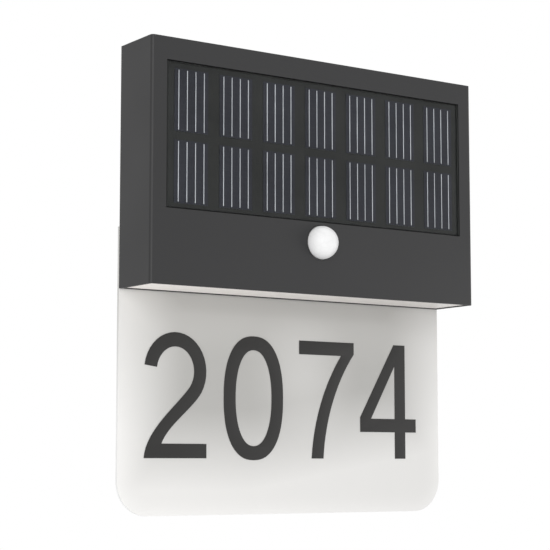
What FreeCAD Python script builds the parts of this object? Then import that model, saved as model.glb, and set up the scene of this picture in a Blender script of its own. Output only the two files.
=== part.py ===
"""Solar house number sign: a flat casing that hangs on a wall bracket, with a solar panel and a
motion sensor on its front, a strip of LEDs behind an opal diffuser in its underside, and a frosted
acrylic number plate screwed to its back.

Frame, in millimetres: x to the right as seen from the street, y towards the wall, z up. The origin is
the middle of the two wall screws, on the wall. Most sizes below are depths, counted back from the
casing's front face."""
import FreeCAD, Part
import math
import os

Vector = FreeCAD.Vector

# ---- casing and its place -------------------------------------------------------------------
WIDTH = 260.0
HEIGHT = 156.0
DEPTH = 39.0
WALL = 2.0
FRONT_EDGE_R = 2.2
WALL_GAP = 3.0            # from the casing's back to the wall
BOTTOM = -98.0            # casing's underside, below the line of the wall screws
FIT = 0.3                 # clearance round everything that moves
OVERLAP = 0.5             # how far a wall runs into the one it grows from

# ---- number plate ---------------------------------------------------------------------------
PLATE_T = 2.0
PLATE_DROP = 142.8        # how far it hangs below the casing
PLATE_OVERLAP = 39.5      # how far it reaches up behind the casing
PLATE_CORNER_R = 22.0
PLATE_SCREW_XS = (-90.0, -25.0, 25.0, 90.0)
PLATE_SCREW_UP = 29.0     # above the casing's underside
PLATE_BOSS_R, PLATE_BOSS_L = 4.0, 9.0
PLATE_SCREW_R, PLATE_HEAD_R, PLATE_HEAD_H = 1.75, 3.4, 1.4   # countersunk, flush with the plate

# ---- solar panel ----------------------------------------------------------------------------
PANEL_MARGIN_X = 11.05    # casing's side to the opening
PANEL_LOW, PANEL_HIGH = 47.75, 141.45  # opening, above the casing's underside
PANEL_GAP = 0.8           # dark line round the panel
SHEET_T, RIBBON_T, CELL_T, BACKING_T, TAPE_T = 0.8, 0.15, 0.2, 0.95, 0.5
PANEL_LEDGE = 5.0
TRAY_T = 2.0
CELL_COLUMNS, CELL_ROWS = 7, 2
CELL_PITCH_X, CELL_PITCH_Z = 33.48, 45.5
CELL_W, CELL_H = 25.0, 40.0
CELL_MIDDLE_UP = 94.1     # middle of the two rows, above the casing's underside
RIBBONS_PER_CELL, RIBBON_PITCH, RIBBON_W, RIBBON_L = 4, 6.26, 0.6, 38.1

# ---- motion sensor --------------------------------------------------------------------------
SENSOR_UP = 34.5          # above the casing's underside
DOME_R, DOME_T = 11.0, 1.2
DOME_HOLE_R = 11.5
DOME_STEPS, HOLLOW_STEPS = 8, 4         # rings of facets outside and inside
LENS_FLANGE_R, LENS_FLANGE_T, LENS_GASKET_T = 14.2, 1.4, 0.6
RETAINER_T, RETAINER_SCREW_X, RETAINER_EAR = 2.0, 19.5, 3.4
SENSOR_BOARD_W, SENSOR_BOARD_H, BOARD_T = 62.0, 23.0, 1.6
SENSOR_BOARD_FRONT, SENSOR_BOARD_SCREW_X = 9.8, 27.0
CAN_R, CAN_H, CAN_BRIM = 4.6, 4.4, 0.5
SENSOR_BOSS_R = 2.8
SMALL_SCREW_R, SMALL_HEAD_R, SMALL_HEAD_H, SMALL_HOLE_R = 1.0, 2.0, 1.1, 1.3

# ---- light unit in the underside ------------------------------------------------------------
CHAMBER_H, BULKHEAD_T = 16.0, 2.5
DIFFUSER_T, DIFFUSER_RECESS, DIFFUSER_GAP = 2.5, 0.6, 0.2
DIFFUSER_SEAT = 0.8       # how far the strip laps under the rear cover
REFLECTOR_T, REFLECTOR_TOP_W, REFLECTOR_BASE_W, REFLECTOR_L = 1.2, 16.0, 25.0, 252.0
LED_BOARD_W, LED_BOARD_L, LED_BOARD_T = 11.0, 240.0, 1.2
LED_COUNT, LED_W, LED_L, LED_T = 18, 2.8, 3.5, 0.8
CLIP_XS = (-100.0, 0.0, 100.0)
CLIP_W, CLIP_T, CLIP_H, CLIP_HOOK = 12.0, 1.4, 9.0, 1.2
CLIP_STAND = 2.0                          # between a clip and the wall beside it
CLIP_LEDGE, CLIP_LEDGE_T = 4.0, 2.0       # ledge that a clip snaps over, above the strip
LIGHT_SCREW_STEPS = (-8, -3, 3, 8)        # in LED pitches, midway between two LEDs
LED_LEAD_STEP = -7
LIGHT_BOSS_R, LIGHT_BOSS_H = 3.0, 6.0
GROMMET_R, GROMMET_BRIM_R, GROMMET_BORE_R = 3.6, 5.0, 1.6

# ---- rear cover and what it carries ---------------------------------------------------------
COVER_T = 2.0
SEAL_T, SEAL_W, SEAL_LEDGE, SEAL_LEDGE_T = 1.0, 2.2, 3.0, 2.0
BOSS_R, BOSS_WEB, PILOT_R, PILOT_L = 3.4, 1.5, 1.25, 14.0
RIB_T, RIB_H, COVER_RIB_H = 1.2, 5.0, 4.0
LOW_RIB_XS, HIGH_RIB_XS, SIDE_RIB_ZS = (44, 75, 105), (30, 60, 90), (-35, -5, 25)
M3_HEAD_R, M3_HEAD_H = 2.9, 1.5
TOP_SCREW_Z, SIDE_SCREW_X = 49.5, 120.5
LOW_SCREW_UP, MID_SCREW_X = 25.5, 57.0
BOARD_X, BOARD_W = -106.0, 30.0          # control board, upright on the left
BOARD_LOW, BOARD_HIGH = -44.0, 40.0
BOARD_BACK, BOARD_SCREW_INSET = 29.0, 3.5
SOCKET_W, SOCKET_H, SOCKET_L = 8.0, 5.0, 6.0
BUTTON_X, BUTTON_Z, BUTTON_R, BUTTON_TRAVEL = -106.0, -30.0, 4.5, 0.8
BUTTON_PROUD, GUIDE_L, GUIDE_WALL = 0.6, 4.5, 1.6
COLLAR_R, COLLAR_T = 5.6, 0.9
SWITCH_W, SWITCH_H, SWITCH_FLOOR, PLUNGER_R, PLUNGER_TOP = 6.0, 2.5, 0.4, 1.0, 3.6

# ---- battery --------------------------------------------------------------------------------
CELL18_R, CELL18_L = 9.15, 65.0          # one 18650 cell
CELL18_CAP_R, CELL18_CAP_H = 3.2, 1.5
BAY_X, BAY_MIDDLE_Z, BAY_AXIS_DEPTH = 101.0, -5.0, 25.0
BAY_R, BAY_L, BAY_WALL = 9.7, 70.0, 1.5
DOOR_W, DOOR_FLANGE, DOOR_L, DOOR_SLIDE, DOOR_LIP = 22.0, 2.0, 75.4, 10.0, 0.7
DOOR_GROOVES, GROOVE_PITCH, GROOVE_W, GROOVE_L, GROOVE_DEEP = 5, 2.4, 1.2, 14.0, 0.6
PAD_T, PAD_EDGE = 4.0, 2.5
LEAD_R = 0.65
SEAL_CORD, SEAL_DEEP, SEAL_OUT = 1.0, 0.7, 1.4
LEAF_T, LEAF_W = 0.4, 10.0               # spring contact
TAB_W, TAB_FRONT = 6.0, 5.0              # its tab, and how far that lies in front of the cell's axis

# ---- wall bracket ---------------------------------------------------------------------------
STEEL = 1.5
BRACKET_W, BRACKET_H, BRACKET_LIP = 160.0, 50.0, 5.0
SLOT_X, SLOT_R, SLOT_L = 65.0, 2.25, 9.0
HOOK_X, HOOK_W, HOOK_REACH, HOOK_UP = 35.0, 18.0, 14.0, 10.0
HOOK_LEG_Z = 4.5                         # underside of the hook's forward leg
LIFT = 11.0                              # how far the lamp lifts to come off
RECESS_DEPTH = 7.0
RECESS_ROOM, POCKET_ROOM = 4.0, 2.0      # beside the bracket, and round a hook
POCKET_WALL = 1.5

# ---- derived --------------------------------------------------------------------------------
FRONT_Y = -(DEPTH + WALL_GAP)
LED_PITCH = LED_BOARD_L / LED_COUNT
LIGHT_SCREW_XS = [step * LED_PITCH for step in LIGHT_SCREW_STEPS]
LED_LEAD_X = LED_LEAD_STEP * LED_PITCH
TOP = BOTTOM + HEIGHT
HALF = WIDTH / 2
INSIDE = HALF - WALL
COVER_FRONT = DEPTH - COVER_T
SEAL_FRONT = COVER_FRONT - SEAL_T
BULKHEAD_LOW = BOTTOM + CHAMBER_H
BULKHEAD_TOP = BULKHEAD_LOW + BULKHEAD_T
DIFFUSER_LOW = BOTTOM + DIFFUSER_RECESS
DIFFUSER_TOP = DIFFUSER_LOW + DIFFUSER_T
DIFFUSER_BACK = COVER_FRONT + DIFFUSER_SEAT
LIGHT_DEPTH = (WALL + COVER_FRONT) / 2    # line that the LEDs stand on: the middle of the underside
PANEL_X = HALF - PANEL_MARGIN_X
PANEL_Z = (BOTTOM + PANEL_LOW, BOTTOM + PANEL_HIGH)
PANEL_STACK = SHEET_T + RIBBON_T + CELL_T + BACKING_T + TAPE_T
TRAY_BACK = PANEL_STACK + TRAY_T
LENS_SEAT = TRAY_BACK + LENS_GASKET_T     # front of the lens flange
RETAINER_FRONT = LENS_SEAT + LENS_FLANGE_T
SENSOR_Z = BOTTOM + SENSOR_UP
SENSOR_BOSSES = [
    (side * x, back) for side in (-1, 1)
    for x, back in ((RETAINER_SCREW_X, RETAINER_FRONT), (SENSOR_BOARD_SCREW_X, SENSOR_BOARD_FRONT))
]
PLATE_SCREW_Z = BOTTOM + PLATE_SCREW_UP
COVER_SCREWS = [(x, TOP_SCREW_Z) for x in (-SIDE_SCREW_X, 0.0, SIDE_SCREW_X)] + [
    (x, BOTTOM + LOW_SCREW_UP) for x in (-SIDE_SCREW_X, -MID_SCREW_X, MID_SCREW_X, SIDE_SCREW_X)
]
BRACKET_FACE = DEPTH + WALL_GAP - STEEL   # front of the bracket's plate, as a depth
HOOK_FRONT = BRACKET_FACE - HOOK_REACH
RECESS_BACK = DEPTH - RECESS_DEPTH        # floor of the recess that the bracket sits in
RECESS_X = BRACKET_W / 2 + RECESS_ROOM
RECESS_Z = (-BRACKET_H / 2 - LIFT - POCKET_ROOM, BRACKET_H / 2 + POCKET_ROOM)
POCKET_X = HOOK_W / 2 + POCKET_ROOM
POCKET_FRONT = HOOK_FRONT - POCKET_ROOM
SLOT_TOP = HOOK_LEG_Z + STEEL + FIT
SLOT_LOW = HOOK_LEG_Z - LIFT - 1.5
DOOR_LOW = BAY_MIDDLE_Z - DOOR_L / 2
GUIDE_FRONT = DEPTH - GUIDE_L             # inner end of the button's guide
COLLAR = (GUIDE_FRONT - FIT - COLLAR_T, GUIDE_FRONT - FIT)
SOCKET_FRONT = BOARD_BACK - BOARD_T - SOCKET_L


# ---- helpers --------------------------------------------------------------------------------
def block(x, depth, z):
    """A box from ranges of x, depth behind the front face, and z."""
    corner = Vector(x[0], FRONT_Y + depth[0], z[0])
    return Part.makeBox(x[1] - x[0], depth[1] - depth[0], z[1] - z[0], corner)


def rod(x, z, depth, radius):
    """A cylinder along y."""
    return Part.makeCylinder(radius, depth[1] - depth[0], Vector(x, FRONT_Y + depth[0], z), Vector(0, 1, 0))


def regular(centre, u, v, radius, sides):
    """A closed regular polygon round `centre`, in the plane of the unit vectors u and v."""
    turns = [2 * math.pi * (i + 0.5) / sides for i in range(sides)]
    loop = [centre + u * (radius * math.cos(t)) + v * (radius * math.sin(t)) for t in turns]
    return Part.makePolygon(loop + loop[:1])


def pillar(x, z, depth, radius, sides=8):
    """A many-sided rod along y, for bosses, pilot holes and screws: round enough, with few faces."""
    outline = regular(Vector(x, FRONT_Y + depth[0], z), Vector(1, 0, 0), Vector(0, 0, 1), radius, sides)
    return Part.Face(outline).extrude(Vector(0, depth[1] - depth[0], 0))


def post(x, depth, z, radius, sides=8):
    """A many-sided rod along z, at one depth."""
    outline = regular(Vector(x, FRONT_Y + depth, z[0]), Vector(1, 0, 0), Vector(0, 1, 0), radius, sides)
    return Part.Face(outline).extrude(Vector(0, 0, z[1] - z[0]))


def about(middle, width):
    """The range of that width round a middle."""
    return middle - width / 2, middle + width / 2


def frame(x, depth, z, width):
    """A rectangular ring, `width` wide all round, inside the given ranges."""
    hole = block((x[0] + width, x[1] - width), depth, (z[0] + width, z[1] - width))
    return block(x, depth, z).cut(hole)


def turned(x, z, points):
    """A solid of revolution about an axis along y, from a closed outline of (radius, depth) points."""
    loop = [Vector(x + r, FRONT_Y + depth, z) for r, depth in points]
    return Part.Face(Part.makePolygon(loop + loop[:1])).revolve(Vector(x, 0, z), Vector(0, 1, 0), 360)


def extruded_x(points, x):
    """A closed outline of (depth, z) points, carried along x."""
    loop = [Vector(x[0], FRONT_Y + depth, z) for depth, z in points]
    face = Part.Face(Part.makePolygon(loop + loop[:1]))
    return face.extrude(Vector(x[1] - x[0], 0, 0))


def joined(shapes):
    shapes = list(shapes)
    return shapes[0].multiFuse(shapes[1:]).removeSplitter() if len(shapes) > 1 else shapes[0]


def group(shapes):
    """Like pieces that share a node, each its own solid."""
    return Part.makeCompound(list(shapes))


def slot_hole(x, z, depth, length, radius):
    """A slot along x."""
    reach = length / 2 - radius
    middle = block((x - reach, x + reach), depth, (z - radius, z + radius))
    return joined([middle, rod(x - reach, z, depth, radius), rod(x + reach, z, depth, radius)])


def countersunk(x, z, depth, shank_r, head_r, head_h, tip, sides=12):
    """A countersunk screw whose head is flush at `depth` and whose point is at depth `tip`."""
    ends = [
        regular(Vector(x, FRONT_Y + d, z), Vector(1, 0, 0), Vector(0, 0, 1), r, sides)
        for d, r in ((depth - head_h, shank_r), (depth, head_r))
    ]
    head = Part.makeLoft(ends, True, True)
    return head.fuse(pillar(x, z, (tip, depth - head_h), shank_r, sides)).removeSplitter()


def pan_screw(x, z, seat, tip, shank_r, head_r, head_h):
    """A pan-head screw along y, its head seated at depth `seat` and its point at depth `tip`."""
    back = seat - math.copysign(head_h, tip - seat)
    head = pillar(x, z, tuple(sorted((seat, back))), head_r)
    return head.fuse(pillar(x, z, tuple(sorted((seat, tip))), shank_r)).removeSplitter()


def route_wire(points, bend):
    """A path of straight runs with a tangent arc of radius `bend` at every inner point."""
    route = [Vector(x, FRONT_Y + depth, z) for x, depth, z in points]
    edges, start = [], route[0]
    for before, corner, after in zip(route, route[1:], route[2:]):
        back, on = (before - corner).normalize(), (after - corner).normalize()
        half = back.getAngle(on) / 2
        reach = bend / math.tan(half)
        first, last = corner + back * reach, corner + on * reach
        inward = (back + on).normalize()
        middle = corner + inward * (bend / math.sin(half) - bend)
        edges.append(Part.LineSegment(start, first).toShape())
        edges.append(Part.Arc(first, middle, last).toShape())
        start = last
    edges.append(Part.LineSegment(start, route[-1]).toShape())
    return Part.Wire(edges)


def lead(points, bend=5.0, radius=LEAD_R, sides=6):
    """One insulated lead along a rounded route, with few sides."""
    path = route_wire(points, bend)
    start, second = (Vector(x, FRONT_Y + depth, z) for x, depth, z in points[:2])
    along = (second - start).normalize()
    u = along.cross(Vector(0.3, 0.4, 0.87)).normalize()
    section = regular(start, u, along.cross(u), radius, sides)
    tube = path.makePipeShell([section], True, True)
    expected = sides / 2 * math.sin(2 * math.pi / sides) * radius**2 * path.Length
    print(f"  lead {path.Length:.0f} mm, volume {tube.Volume / expected:.3f} of expected")
    return tube


# ---- front casing ---------------------------------------------------------------------------
def casing_shell():
    outer = block((-HALF, HALF), (0, DEPTH), (BOTTOM, TOP))
    upright = [
        e for e in outer.Edges
        if abs(e.BoundBox.ZLength - HEIGHT) < 1e-6 and abs(e.CenterOfMass.y - FRONT_Y) < 1e-6
    ]
    outer = outer.makeFillet(FRONT_EDGE_R, upright)
    inner = block((-INSIDE, INSIDE), (WALL, DEPTH + 1), (BOTTOM - 1, TOP - WALL))
    return outer.cut(inner)


def panel_tray():
    """The rear of the pocket that the solar panel is set into."""
    around = PANEL_X + TRAY_T
    return block((-around, around), (WALL, TRAY_BACK), (PANEL_Z[0] - TRAY_T, PANEL_Z[1] + TRAY_T))


def casing_bosses():
    """A screw pillar for each rear cover screw, with a web to the nearest wall."""
    pieces = []
    for x, z in COVER_SCREWS:
        pieces.append(pillar(x, z, (WALL, COVER_FRONT), BOSS_R, 12))
        web = (z, TOP - WALL) if z > 0 else (BULKHEAD_LOW, z)
        pieces.append(block(about(x, BOSS_WEB), (WALL, SEAL_FRONT), web))
    return pieces


def casing_ribs():
    """Stiffening ribs on the back of the front wall, from the panel tray to the outer walls."""
    depth = (WALL, WALL + RIB_H)
    ribs = []
    for side in (-1, 1):
        ribs += [block(about(side * x, RIB_T), depth, (BULKHEAD_LOW, PANEL_Z[0])) for x in LOW_RIB_XS]
        ribs += [block(about(side * x, RIB_T), depth, (PANEL_Z[1], TOP - WALL)) for x in HIGH_RIB_XS]
        span = tuple(sorted((side * PANEL_X, side * (INSIDE + OVERLAP))))
        ribs += [block(span, depth, about(z, RIB_T)) for z in SIDE_RIB_ZS]
    return ribs


def clip_ledge(x, depth):
    """The ledge that a snap leg of the diffuser hooks over."""
    low = DIFFUSER_TOP + CLIP_LEDGE
    return block(about(x, CLIP_W), depth, (low, low + CLIP_LEDGE_T))


def front_casing():
    inside = (-INSIDE - OVERLAP, INSIDE + OVERLAP)
    lamp = [casing_shell(), panel_tray()] + casing_bosses() + casing_ribs()
    lamp.append(block(inside, (WALL - OVERLAP, SEAL_FRONT), (BULKHEAD_LOW, BULKHEAD_TOP)))
    seat_z = (BULKHEAD_LOW, TOP - WALL + OVERLAP)
    lamp.append(frame(inside, (SEAL_FRONT - SEAL_LEDGE_T, SEAL_FRONT), seat_z, SEAL_LEDGE + OVERLAP))
    lamp.append(rod(0, SENSOR_Z, (WALL, TRAY_BACK), LENS_FLANGE_R + WALL))
    for x, back in SENSOR_BOSSES:
        lamp.append(pillar(x, SENSOR_Z, (WALL, back), SENSOR_BOSS_R))
    for x in LIGHT_SCREW_XS:
        lamp.append(post(x, LIGHT_DEPTH, (BULKHEAD_TOP, BULKHEAD_TOP + LIGHT_BOSS_H), LIGHT_BOSS_R))
    lamp += [clip_ledge(x, (WALL, WALL + CLIP_STAND - 0.4)) for x in CLIP_XS]
    body = joined(lamp)

    body = body.cut(block((-PANEL_X, PANEL_X), (-1, PANEL_STACK), PANEL_Z))
    window = (PANEL_Z[0] + PANEL_LEDGE, PANEL_Z[1] - PANEL_LEDGE)
    body = body.cut(block((-PANEL_X + PANEL_LEDGE, PANEL_X - PANEL_LEDGE), (0, TRAY_BACK + 1), window))
    holes = [rod(0, SENSOR_Z, (-1, TRAY_BACK + 1), DOME_HOLE_R)]
    holes += [pillar(x, z, (COVER_FRONT - PILOT_L, COVER_FRONT + 1), PILOT_R, 12) for x, z in COVER_SCREWS]
    holes += [pillar(x, SENSOR_Z, (WALL + OVERLAP, back + 1), SMALL_SCREW_R) for x, back in SENSOR_BOSSES]
    for x in LIGHT_SCREW_XS:
        z = (BULKHEAD_LOW - 1, BULKHEAD_TOP + LIGHT_BOSS_H - 1)
        holes.append(post(x, LIGHT_DEPTH, z, SMALL_SCREW_R))
    holes.append(post(LED_LEAD_X, LIGHT_DEPTH, (BULKHEAD_LOW - 1, BULKHEAD_TOP + 1), GROMMET_R, 12))
    for hole in holes:
        body = body.cut(hole)
    return body


# ---- solar panel ----------------------------------------------------------------------------
def panel_outline(gap):
    return (-PANEL_X + gap, PANEL_X - gap), (PANEL_Z[0] + gap, PANEL_Z[1] - gap)


def cell_centres():
    middle_z = BOTTOM + CELL_MIDDLE_UP
    for column in range(CELL_COLUMNS):
        for row in range(CELL_ROWS):
            x = (column - (CELL_COLUMNS - 1) / 2) * CELL_PITCH_X
            yield x, middle_z + (row - (CELL_ROWS - 1) / 2) * CELL_PITCH_Z


def solar_front_sheet():
    x, z = panel_outline(PANEL_GAP)
    return block(x, (0, SHEET_T), z)


def solar_ribbons():
    """The bright wires that collect the current, soldered down the face of each cell."""
    depth = (SHEET_T, SHEET_T + RIBBON_T)
    strips = []
    for x, z in cell_centres():
        for i in range(RIBBONS_PER_CELL):
            middle = x + (i - (RIBBONS_PER_CELL - 1) / 2) * RIBBON_PITCH
            strips.append(block(about(middle, RIBBON_W), depth, about(z, RIBBON_L)))
    return group(strips)


def solar_cells():
    front = SHEET_T + RIBBON_T
    depth = (front, front + CELL_T)
    return group(block(about(x, CELL_W), depth, about(z, CELL_H)) for x, z in cell_centres())


def solar_backing_board():
    x, z = panel_outline(PANEL_GAP)
    front = SHEET_T + RIBBON_T + CELL_T
    return block(x, (front, front + BACKING_T), z)


def solar_panel_tape():
    x, z = panel_outline(PANEL_GAP)
    return frame(x, (PANEL_STACK - TAPE_T, PANEL_STACK), z, PANEL_LEDGE - PANEL_GAP - 0.4)


# ---- motion sensor --------------------------------------------------------------------------
def quarter_turn(radius, steps):
    """Points (radius, depth) of a ball from its tip to its widest ring, in even steps."""
    turns = [math.pi / 2 * i / steps for i in range(steps + 1)]
    return [(radius * math.sin(t), -radius * math.cos(t)) for t in turns]


def sensor_lens():
    """An opal dome on a short neck, with a flange that is clamped behind the front wall."""
    outside = quarter_turn(DOME_R, DOME_STEPS)
    hollow = quarter_turn(DOME_R - DOME_T, HOLLOW_STEPS)
    flange = [(DOME_R, LENS_SEAT), (LENS_FLANGE_R, LENS_SEAT), (LENS_FLANGE_R, RETAINER_FRONT)]
    return turned(0, SENSOR_Z, outside + flange + [(DOME_R - DOME_T, RETAINER_FRONT)] + hollow[::-1])


def sensor_lens_gasket():
    depth = (TRAY_BACK, LENS_SEAT)
    bore = pillar(0, SENSOR_Z, depth, DOME_HOLE_R + FIT, 32)
    return pillar(0, SENSOR_Z, depth, LENS_FLANGE_R, 32).cut(bore)


def sensor_lens_retainer():
    """A ring with two ears, screwed down over the lens flange."""
    depth = (RETAINER_FRONT, RETAINER_FRONT + RETAINER_T)
    ears = block(about(0, 2 * (RETAINER_SCREW_X + RETAINER_EAR)), depth, about(SENSOR_Z, 2 * RETAINER_EAR))
    body = joined([pillar(0, SENSOR_Z, depth, LENS_FLANGE_R, 32), ears])
    body = body.cut(pillar(0, SENSOR_Z, (0, DEPTH), DOME_R - DOME_T, 32))
    for side in (-1, 1):
        body = body.cut(pillar(side * RETAINER_SCREW_X, SENSOR_Z, (0, DEPTH), SMALL_HOLE_R))
    return body


def small_screw(x, z, seat, tip):
    return pan_screw(x, z, seat, tip, SMALL_SCREW_R, SMALL_HEAD_R, SMALL_HEAD_H)


def sensor_retainer_screws():
    seat = RETAINER_FRONT + RETAINER_T
    return group(small_screw(side * RETAINER_SCREW_X, SENSOR_Z, seat, WALL + 1) for side in (-1, 1))


def sensor_board():
    depth = (SENSOR_BOARD_FRONT, SENSOR_BOARD_FRONT + BOARD_T)
    board = block(about(0, SENSOR_BOARD_W), depth, about(SENSOR_Z, SENSOR_BOARD_H))
    for side in (-1, 1):
        board = board.cut(pillar(side * SENSOR_BOARD_SCREW_X, SENSOR_Z, (0, DEPTH), SMALL_HOLE_R))
    return board


def sensor_board_screws():
    seat = SENSOR_BOARD_FRONT + BOARD_T
    return group(small_screw(side * SENSOR_BOARD_SCREW_X, SENSOR_Z, seat, WALL + 1) for side in (-1, 1))


def motion_sensor():
    """The heat sensor: a metal can with a brim round its base, standing inside the dome."""
    back = SENSOR_BOARD_FRONT
    can = pillar(0, SENSOR_Z, (back - CAN_H, back - CAN_BRIM), CAN_R, 16)
    return can.fuse(pillar(0, SENSOR_Z, (back - CAN_BRIM, back), CAN_R + CAN_BRIM, 16)).removeSplitter()


# ---- light unit -----------------------------------------------------------------------------
def reflector():
    """A white trough, open downwards, with closed ends. Its roof is screwed up to the bulkhead."""
    middle, top, low = LIGHT_DEPTH, BULKHEAD_LOW, DIFFUSER_TOP
    roof, base, t = REFLECTOR_TOP_W / 2, REFLECTOR_BASE_W / 2, REFLECTOR_T
    outer = [(middle - roof, top), (middle + roof, top), (middle + base, low), (middle - base, low)]
    inner = [(middle - roof + t, top - t), (middle + roof - t, top - t)]
    inner += [(middle + base - t, low - 1), (middle - base + t, low - 1)]
    body = extruded_x(outer, about(0, REFLECTOR_L)).cut(extruded_x(inner, about(0, REFLECTOR_L - 2 * t)))
    for x in LIGHT_SCREW_XS:
        body = body.cut(post(x, middle, (low, top + 1), SMALL_HOLE_R))
    return body.cut(post(LED_LEAD_X, middle, (low, top + 1), GROMMET_R - 1))


def led_board():
    top = BULKHEAD_LOW - REFLECTOR_T
    board = block(about(0, LED_BOARD_L), about(LIGHT_DEPTH, LED_BOARD_W), (top - LED_BOARD_T, top))
    for x in LIGHT_SCREW_XS:
        board = board.cut(post(x, LIGHT_DEPTH, (top - LED_BOARD_T, top + 1), SMALL_HOLE_R))
    return board


def leds():
    top = BULKHEAD_LOW - REFLECTOR_T - LED_BOARD_T
    places = [(i - (LED_COUNT - 1) / 2) * LED_PITCH for i in range(LED_COUNT)]
    return group(block(about(x, LED_L), about(LIGHT_DEPTH, LED_W), (top - LED_T, top)) for x in places)


def light_screws():
    """Screws that hold the LED board and the reflector up under the bulkhead."""
    seat = BULKHEAD_LOW - REFLECTOR_T - LED_BOARD_T
    tip = BULKHEAD_TOP + LIGHT_BOSS_H - 2
    screws = []
    for x in LIGHT_SCREW_XS:
        head = post(x, LIGHT_DEPTH, (seat - SMALL_HEAD_H, seat), SMALL_HEAD_R)
        screws.append(head.fuse(post(x, LIGHT_DEPTH, (seat, tip), SMALL_SCREW_R)).removeSplitter())
    return group(screws)


def clip(x, wall_side):
    """One snap leg of the diffuser. wall_side is -1 at the front wall and +1 at the rear cover."""
    near = WALL + CLIP_STAND if wall_side < 0 else COVER_FRONT - CLIP_STAND
    far = near - wall_side * CLIP_T
    top, hook = DIFFUSER_TOP + CLIP_H, DIFFUSER_TOP + CLIP_LEDGE + CLIP_LEDGE_T + 0.2
    foot = DIFFUSER_TOP - OVERLAP
    outline = [(near, foot), (near, hook), (near + wall_side * CLIP_HOOK, hook), (near, top), (far, top)]
    return extruded_x(outline + [(far, foot)], about(x, CLIP_W))


def diffuser():
    """The opal strip that closes the underside, held by three snap legs along each side."""
    edge = INSIDE - DIFFUSER_GAP
    strip = block((-edge, edge), (WALL + DIFFUSER_GAP, DIFFUSER_BACK), (DIFFUSER_LOW, DIFFUSER_TOP))
    return joined([strip] + [clip(x, side) for x in CLIP_XS for side in (-1, 1)])


# ---- rear cover -----------------------------------------------------------------------------
def bay_outline(extra):
    """The battery trough, seen along z: a half round with straight sides, `extra` larger all round."""
    r = BAY_R + extra
    length = BAY_L + 2 * extra
    low = BAY_MIDDLE_Z - length / 2
    round_end = Part.makeCylinder(r, length, Vector(BAY_X, FRONT_Y + BAY_AXIS_DEPTH, low))
    sides = block((BAY_X - r, BAY_X + r), (BAY_AXIS_DEPTH, COVER_FRONT), (low, low + length))
    return round_end.fuse(sides)


def cover_ribs():
    """Low ribs inside the cover, beside and below the bracket's recess."""
    depth = (COVER_FRONT - COVER_RIB_H, COVER_FRONT)
    below, above = (BULKHEAD_TOP + 4, RECESS_Z[0]), (RECESS_Z[1], TOP - WALL - RIB_H)
    ribs = [block(about(x, RIB_T), depth, below) for x in (-75, -40, 40, 75)]
    return ribs + [block(about(x, RIB_T), depth, above) for x in (-75, -45, -15, 15, 45, 75)]


def cover_solids():
    """The cover's plate with every pad, pocket and pillar that stands on it, before anything is cut."""
    edge, z = INSIDE - 0.2, (BOTTOM, TOP - WALL - 0.2)
    solids = [block((-edge, edge), (COVER_FRONT, DEPTH), z), bay_outline(BAY_WALL)]
    x_out, z_out = RECESS_X + COVER_T, (RECESS_Z[0] - COVER_T, RECESS_Z[1] + COVER_T)
    solids.append(block((-x_out, x_out), (RECESS_BACK - COVER_T, DEPTH), z_out))
    for side in (-1, 1):
        span = about(side * HOOK_X, 2 * (POCKET_X + POCKET_WALL))
        pocket_z = (SLOT_LOW - POCKET_WALL, SLOT_TOP + HOOK_UP + 2 * POCKET_WALL)
        solids.append(block(span, (POCKET_FRONT - POCKET_WALL, RECESS_BACK), pocket_z))
    pad_w = DOOR_W + 2 * (DOOR_FLANGE + FIT + PAD_EDGE)
    pad_z = (DOOR_LOW - FIT - PAD_EDGE, DOOR_LOW + DOOR_L + DOOR_SLIDE + FIT + PAD_EDGE)
    solids.append(block(about(BAY_X, pad_w), (DEPTH - PAD_T, DEPTH), pad_z))
    for x in PLATE_SCREW_XS:
        solids.append(pillar(x, PLATE_SCREW_Z, (DEPTH - PLATE_BOSS_L, DEPTH), PLATE_BOSS_R, 12))
    for x, z_screw in board_screw_places():
        solids.append(pillar(x, z_screw, (BOARD_BACK, DEPTH), 3.0))
    solids.append(rod(BUTTON_X, BUTTON_Z, (GUIDE_FRONT, DEPTH), BUTTON_R + FIT + GUIDE_WALL))
    solids += [clip_ledge(x, (COVER_FRONT - CLIP_STAND + 0.4, COVER_FRONT)) for x in CLIP_XS]
    return solids


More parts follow.
